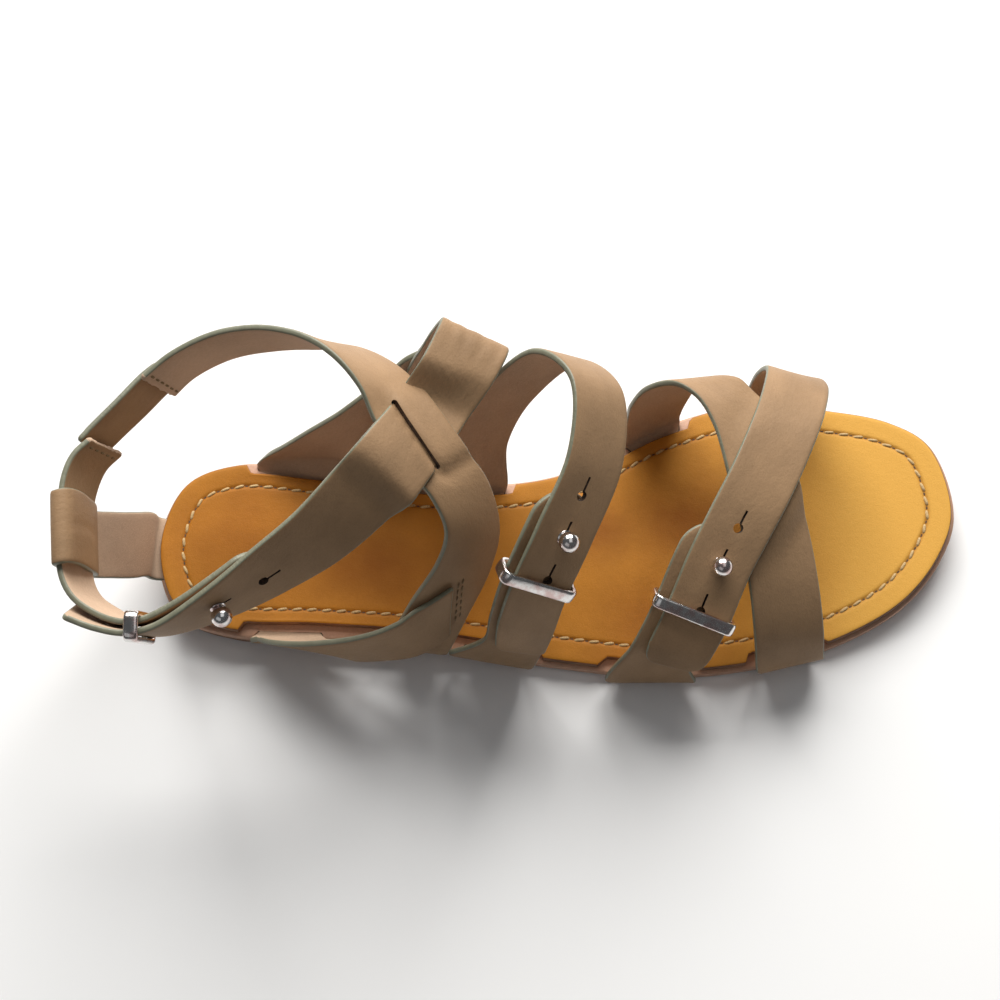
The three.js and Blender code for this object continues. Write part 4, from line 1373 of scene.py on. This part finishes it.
def rooted_spans():
    """Every stretch of strap that lies in the outsole: strip, first and last s."""
    spans = []
    for name, strip in STRIPS.items():
        if name in ("toe_over", "toe_under", "midfoot", "instep_under", "rear_medial", "heel_strap"):
            spans.append((strip, 0.0, strip.s_of(3.6)))
        if name in ("toe_under", "toe_billet", "midfoot_billet", "instep_over", "rear_lateral"):
            spans.append((strip, strip.s_of(strip.last - 3.6), strip.length))
    return spans


def root_cutter(strip, s_from, s_to, spare=0.12):
    """A plain solid a little larger than a strap's root."""
    s = np.linspace(s_from - spare, s_to + spare, 16)
    half = strip.width_at(np.clip(s, 0, strip.length)) / 2 + spare
    corners = [(-1, -1), (1, -1), (1, 1), (-1, 1)]
    rings = [strip.place(s, half * a, np.full_like(s, b * (HALF_THICK + spare))) for a, b in corners]
    return np.stack(rings, 1).reshape(-1, 3), end_caps(len(s), 4) + ring_faces(len(s), 4)


# ---- insole and heel ----------------------------------------------------------------------


def insole_height(p, gap, height):
    """Height of the insole's surface; gap is the distance from its edge."""
    depth = patch_fields(p[:, 0], p[:, 1])[0]
    groove = 0.42 * math.exp(-(((gap - GROOVE_GAP) / 0.6) ** 2))
    hollow = depth * float(smooth((gap - 1.0) / 6.0))
    return sole_top(p[:, 0]) + height - groove - hollow


def sew_insole(sizes):
    """The row of slanted stitches round the insole, and small dark discs of painted shade at the holes
    between them.
    """
    ring = ring_at(STITCH_INSET)
    closed = np.vstack([ring, ring[:1]])
    run = np.concatenate([[0], np.cumsum(np.linalg.norm(np.diff(closed, axis=0), axis=1))])
    pitch = sizes.stitch_pitch / MM
    count = round(run[-1] / pitch)
    shape, faces = stitch_mesh(pitch * 0.80, sizes.thread / MM / 2)
    hole_shape, hole_faces = lathe([(0, -0.2), (0.52, -0.2), (0.50, 0.02), (0, 0.04)], 10)
    stitches, holes = [], []

    def lay(where, shape, slant, rise):
        ends = [np.array([np.interp((where + d) % run[-1], run, closed[:, i]) for i in (0, 1)])
                for d in (-1, 1)]
        along = unit(ends[1] - ends[0])
        c, d = math.cos(slant), math.sin(slant)
        along = np.array([along[0] * c - along[1] * d, along[0] * d + along[1] * c])
        across = np.array([-along[1], along[0]])
        xy = (ends[0] + ends[1]) / 2 + shape[:, :1] * along + shape[:, 1:2] * across
        z = insole_height(xy, GROOVE_GAP, INSOLE_THICK) + rise + shape[:, 2]
        return to_frame(np.column_stack([xy, z]))

    for k in range(count):
        slant = math.radians(11 + 4 * noise.noise(Vector((k * 0.7, 0, 0))))
        stitches.append((lay((k + 0.5) * run[-1] / count, shape, slant, 0.10), faces))
        # A dark disc at each hole: painted shade in place of a real hole.
        holes.append((lay(k * run[-1] / count, hole_shape, 0, 0.05), hole_faces))
    obj = raw_object("insole_stitches", *joined(stitches))
    finish_piece(obj, [insole_thread_material()])
    obj = raw_object("insole_awl_hole_shades", *joined(holes))
    finish_piece(obj, [awl_hole_shade_material()])


def heel_stack():
    """The heel block under the outsole: its layers are fine grooves round it."""
    ring = ring_at(HEEL_INSET)
    ring = ring[ring[:, 0] < HEEL_FRONT_X]
    start = int(np.argmax(np.abs(np.diff(np.vstack([ring, ring[:1]]), axis=0)).sum(1)))
    ring = np.roll(ring, -start - 1, axis=0)
    front = np.linspace(ring[-1], ring[0], 14)[1:-1]
    bow = 3.0 * (1 - (np.linspace(-1, 1, 14)[1:-1]) ** 2)
    front[:, 0] -= bow
    ring = np.vstack([ring, front])
    middle = ring.mean(0)
    top = HEEL_RISE - 0.25
    levels = [(0.6, 0), (0.15, 0.2), (0, 0.6), (0, 1.75), (0.12, 1.9), (0, 2.05), (0, 3.75), (0.12, 3.9),
              (0, 4.05), (0, top - 0.2), (0.15, top)]
    vertices = []
    for inset, z in levels:
        away = ring - middle
        reach = np.linalg.norm(away, axis=1, keepdims=True)
        moved = middle + away * (1 - inset / reach)
        vertices.extend(np.column_stack([moved, np.full(len(ring), z)]))
    return np.array(vertices), ring_faces(len(levels), len(ring)) + end_caps(len(levels), len(ring))


# ---- stage --------------------------------------------------------------------------------

LIT_POINT = Vector((0, 0, 0.03))


def add_floor():
    mesh = bpy.data.meshes.new("floor")
    half = 4.0
    corners = [(-half, -half, 0), (half, -half, 0), (half, half, 0), (-half, half, 0)]
    mesh.from_pydata(corners, [], [(0, 1, 2, 3)])
    n = Nodes("floor_paper")
    n.set(n.shader, Base_Color=(0.89, 0.89, 0.895, 1), Roughness=0.8, Specular_IOR_Level=0.2)
    mesh.materials.append(n.material)
    new_object("floor", mesh)


def add_area_light(name, place, size, power, colour):
    """A rectangular light that shines on the middle of the sandal."""
    light = bpy.data.lights.new(name, "AREA")
    light.shape = "RECTANGLE"
    light.size, light.size_y = size
    light.energy = power
    light.color = colour
    obj = new_object(name, light)
    obj.location = place
    obj.rotation_euler = (LIT_POINT - Vector(place)).to_track_quat("-Z", "Y").to_euler()


def add_lights():
    scene = bpy.context.scene
    scene.view_settings.view_transform = "Standard"
    world = bpy.data.worlds.new("studio")
    world.use_nodes = True
    background = world.node_tree.nodes["Background"]
    background.inputs["Color"].default_value = (0.95, 0.97, 1, 1)
    background.inputs["Strength"].default_value = 0.085
    scene.world = world
    add_area_light("key", (-0.02, 1.0, 0.86), (1.3, 0.9), 38.0, (1, 0.985, 0.95))
    add_area_light("fill", (-0.5, -0.8, 0.9), (1.0, 0.7), 0.7, (0.97, 0.985, 1))
    add_area_light("top", (0.35, 0.05, 1.3), (0.9, 0.7), 1.2, (1, 1, 1))


CAMERA_PLACE = np.array([8.3, -148.1, 499.5])
CAMERA_AIM = np.array([-16.4, 11.3, 22.4])
CAMERA_RIGHT = np.array([0.9983, 0.0074, -0.0571])
CAMERA_LENS = 57.6


def add_camera():
    data = bpy.data.cameras.new("camera")
    data.lens = CAMERA_LENS
    data.sensor_width = 36
    camera = new_object("camera", data)
    bpy.context.scene.camera = camera
    forward = unit(CAMERA_AIM - CAMERA_PLACE)
    right = unit(CAMERA_RIGHT - forward * (CAMERA_RIGHT @ forward))
    up = np.cross(right, forward)
    turn = Matrix([[right[i], up[i], -forward[i]] for i in range(3)]).to_4x4()
    camera.matrix_world = Matrix.Translation(to_frame(CAMERA_PLACE)) @ turn


# ---- operators --------------------------------------------------------------------------


class SANDAL_OT_outsole(bpy.types.Operator):
    """Cut the outsole with the recesses for the strap roots"""

    bl_idname = "sandal.outsole"
    bl_label = "Outsole"

    def execute(self, context):
        def bottom(rise):
            return lambda p: sole_bottom(p[:, 0]) + rise

        def top(drop):
            return lambda p: sole_top(p[:, 0]) - drop

        levels = [(1.3, bottom(0)), (0.45, bottom(0.22)), (0.1, bottom(0.7)), (0, bottom(1.5)),
                  (0, top(0.9)), (0.08, top(0.45)), (0.35, top(0.12)), (0.95, top(0))]
        vertices, faces = slab(levels, 6.0)
        obj = raw_object("outsole_leather", vertices, faces)
        cutters = [root_cutter(*span) for span in rooted_spans()]
        cut_away(obj, raw_object("cutter", *joined(cutters)))
        placed = to_frame([v.co for v in obj.data.vertices])
        obj.data.vertices.foreach_set("co", placed.astype(np.float32).ravel())
        finish_piece(obj, [outsole_material()], "outsole")
        return {"FINISHED"}


class SANDAL_OT_heel_block(bpy.types.Operator):
    """Stack the low heel block"""

    bl_idname = "sandal.heel_block"
    bl_label = "Heel block"

    def execute(self, context):
        vertices, faces = heel_stack()
        obj = raw_object("heel_stack", to_frame(vertices), faces)
        finish_piece(obj, [heel_material()], "heel_block", 40)
        return {"FINISHED"}


class SANDAL_OT_insole(bpy.types.Operator):
    """Cut the insole, press its stitch groove and sew round it"""

    bl_idname = "sandal.insole"
    bl_label = "Insole"

    def execute(self, context):
        notch = NOTCH_DEPTH * notch_mask()

        def level(gap, height):
            inset = INSOLE_INSET + gap + notch * (1 - smooth(gap / 5))
            return inset, lambda p: insole_height(p, gap, height)

        sides = [(0.12, 0.14), (0, 0.4), (0, 2.1), (0.1, 2.55), (0.35, 2.82), (0.8, 2.95)]
        rows = [1.5, 2.6, 3.8, 5.0]
        rows += [GROOVE_GAP + d for d in (-1.5, -1, -0.6, -0.3, 0, 0.3, 0.6, 1, 1.5, 2.5, 3.7)]
        levels = [level(gap, height) for gap, height in sides]
        levels += [level(gap, INSOLE_THICK) for gap in rows]
        vertices, faces = slab(levels, 2.6)
        # Patch darkness, partly painted shadow of the straps on the outer side, and a darker stitch
        # groove.
        dark = patch_fields(vertices[:, 0], vertices[:, 1])[1]
        gaps = np.repeat([gap for gap, _ in sides] + rows, len(RING))
        seam = np.exp(-(((gaps - GROOVE_GAP) / 0.75) ** 2))
        dark[:len(gaps)] = np.maximum(dark[:len(gaps)], 0.55 * seam)
        obj = raw_object("insole_leather", to_frame(vertices), faces)
        for face in obj.data.polygons[:4 * len(RING)]:
            face.material_index = 1
        add_flat_attribute(obj.data, np.column_stack([vertices[:, 0], vertices[:, 1], dark]))
        finish_piece(obj, [insole_material(), insole_edge_material()], "insole")
        sew_insole(context.scene.sandal_sizes)
        return {"FINISHED"}


class SANDAL_OT_toe_straps(bpy.types.Operator):
    """Lay the two crossed toe straps and the billet beneath"""

    bl_idname = "sandal.toe_straps"
    bl_label = "Toe straps"

    def execute(self, context):
        lay_closing_strap(context, "toe", "toe_strap_over", "toe_straps", 1)
        leather_strip("toe_strap_under", STRIPS["toe_under"], "toe_straps", 2)
        lay_billet("toe", 3)
        return {"FINISHED"}


class SANDAL_OT_midfoot_strap(bpy.types.Operator):
    """Lay the midfoot strap and its billet"""

    bl_idname = "sandal.midfoot_strap"
    bl_label = "Midfoot strap"

    def execute(self, context):
        lay_closing_strap(context, "midfoot", "midfoot_strap_leather", "midfoot_strap", 4)
        lay_billet("midfoot", 5)
        return {"FINISHED"}


class SANDAL_OT_instep_straps(bpy.types.Operator):
    """Weave the two instep straps and sew the rear legs to them"""

    bl_idname = "sandal.instep_straps"
    bl_label = "Instep straps"

    def execute(self, context):
        under, over = STRIPS["instep_under"], STRIPS["instep_over"]
        over.bends.append(dent(*SLIT_DENT))
        for crease in WEAVE_CREASES:
            under.bends.append(dent(*crease))
        node = "instep_straps"
        leather_strip("instep_strap_under", under, node, 6, cuts=keyhole_cuts(context, CLOSINGS["ankle"]))
        slit = slot_outline(SLIT_S[0], SLIT_T, SLIT_S[1], SLIT_T, SLIT_HALF)
        leather_strip("instep_strap_over", over, node, 7, (RAW_CUT, SQUARE), [slit], raw_ends=(0.0,))
        lateral, medial = STRIPS["rear_lateral"], STRIPS["rear_medial"]
        leather_strip("rear_strap_lateral", lateral, node, 8)
        leather_strip("rear_strap_medial", medial, node, 9)
        rows = stitch_row(-2.4, STRAP_WIDTH) + stitch_row(-4.2, STRAP_WIDTH)
        strap_stitches("rear_lateral_stitches", lateral, rows, HALF_THICK - REAR_LIFT)
        rows = stitch_row(medial.length - 2.4, STRAP_WIDTH) + stitch_row(medial.length - 5, STRAP_WIDTH)
        strap_stitches("rear_medial_stitches", medial, rows)
        return {"FINISHED"}


class SANDAL_OT_ankle_straps(bpy.types.Operator):
    """Fold the heel strap's loop and lay the ankle billet and its link"""

    bl_idname = "sandal.ankle_straps"
    bl_label = "Ankle straps"

    def execute(self, context):
        heel, link = STRIPS["heel_strap"], STRIPS["ankle_link"]
        loop_crease = (heel.length - 24, 0.4, heel.length - 6, 0.8, 0.9, 0.28)
        heel.bends.append(dent(*loop_crease))
        leather_strip("heel_strap_leather", heel, "heel_strap", 10)
        end = STRIPS["ankle_billet"].length
        lay_billet("ankle", 11, RAW_CUT, turned=(end - FOLD_LENGTH, end), raw_ends=(end,))
        leather_strip("ankle_link_leather", link, "ankle_link", 12, turned=(0, link.length))
        for name, strip, s, width in (
                ("ankle_fold_stitches", STRIPS["ankle_billet"], end - 2.2, BILLET_WIDTH),
                ("ankle_seam_stitches", STRIPS["instep_over"], 2.2, STRAP_WIDTH)):
            strap_stitches(name, strip, stitch_row(s, width), -HALF_THICK, -1)
        return {"FINISHED"}


class SANDAL_OT_hardware(bpy.types.Operator):
    """Set the ball studs and slip the keepers on"""

    bl_idname = "sandal.hardware"
    bl_label = "Studs and keepers"

    def execute(self, context):
        for name, closing in CLOSINGS.items():
            ball_stud(f"{name}_ball_stud", closing, f"{name}_stud")
            keeper_loop(f"{name}_keeper_bar", closing, f"{name}_keeper")
        return {"FINISHED"}


class SANDAL_OT_stage(bpy.types.Operator):
    """Lay the pale floor, light it softly and place the camera"""

    bl_idname = "sandal.stage"
    bl_label = "Stage"

    def execute(self, context):
        add_floor()
        add_lights()
        add_camera()
        return {"FINISHED"}


class SANDAL_PT_panel(bpy.types.Panel):
    """Sizes, colours and the steps that build the sandal"""

    bl_label = "Gladiator sandal"
    bl_idname = "SANDAL_PT_panel"
    bl_space_type = "VIEW_3D"
    bl_region_type = "UI"
    bl_category = "Sandal"

    def draw(self, context):
        for group in (context.scene.sandal_sizes, context.scene.sandal_colours):
            for name in group.__annotations__:
                self.layout.prop(group, name)
        for operator in OPERATORS:
            self.layout.operator(operator.bl_idname)


OPERATORS = (
    SANDAL_OT_outsole,
    SANDAL_OT_heel_block,
    SANDAL_OT_insole,
    SANDAL_OT_toe_straps,
    SANDAL_OT_midfoot_strap,
    SANDAL_OT_instep_straps,
    SANDAL_OT_ankle_straps,
    SANDAL_OT_hardware,
    SANDAL_OT_stage,
)
CLASSES = (SandalSizes, SandalColours, *OPERATORS, SANDAL_PT_panel)


def register():
    for cls in CLASSES:
        bpy.utils.register_class(cls)
    bpy.types.Scene.sandal_sizes = PointerProperty(type=SandalSizes)
    bpy.types.Scene.sandal_colours = PointerProperty(type=SandalColours)


def unregister():
    del bpy.types.Scene.sandal_colours
    del bpy.types.Scene.sandal_sizes
    for cls in reversed(CLASSES):
        bpy.utils.unregister_class(cls)


def main():
    register()
    for operator in OPERATORS:
        group, name = operator.bl_idname.split(".")
        getattr(getattr(bpy.ops, group), name)()


if __name__ == "__main__":
    main()
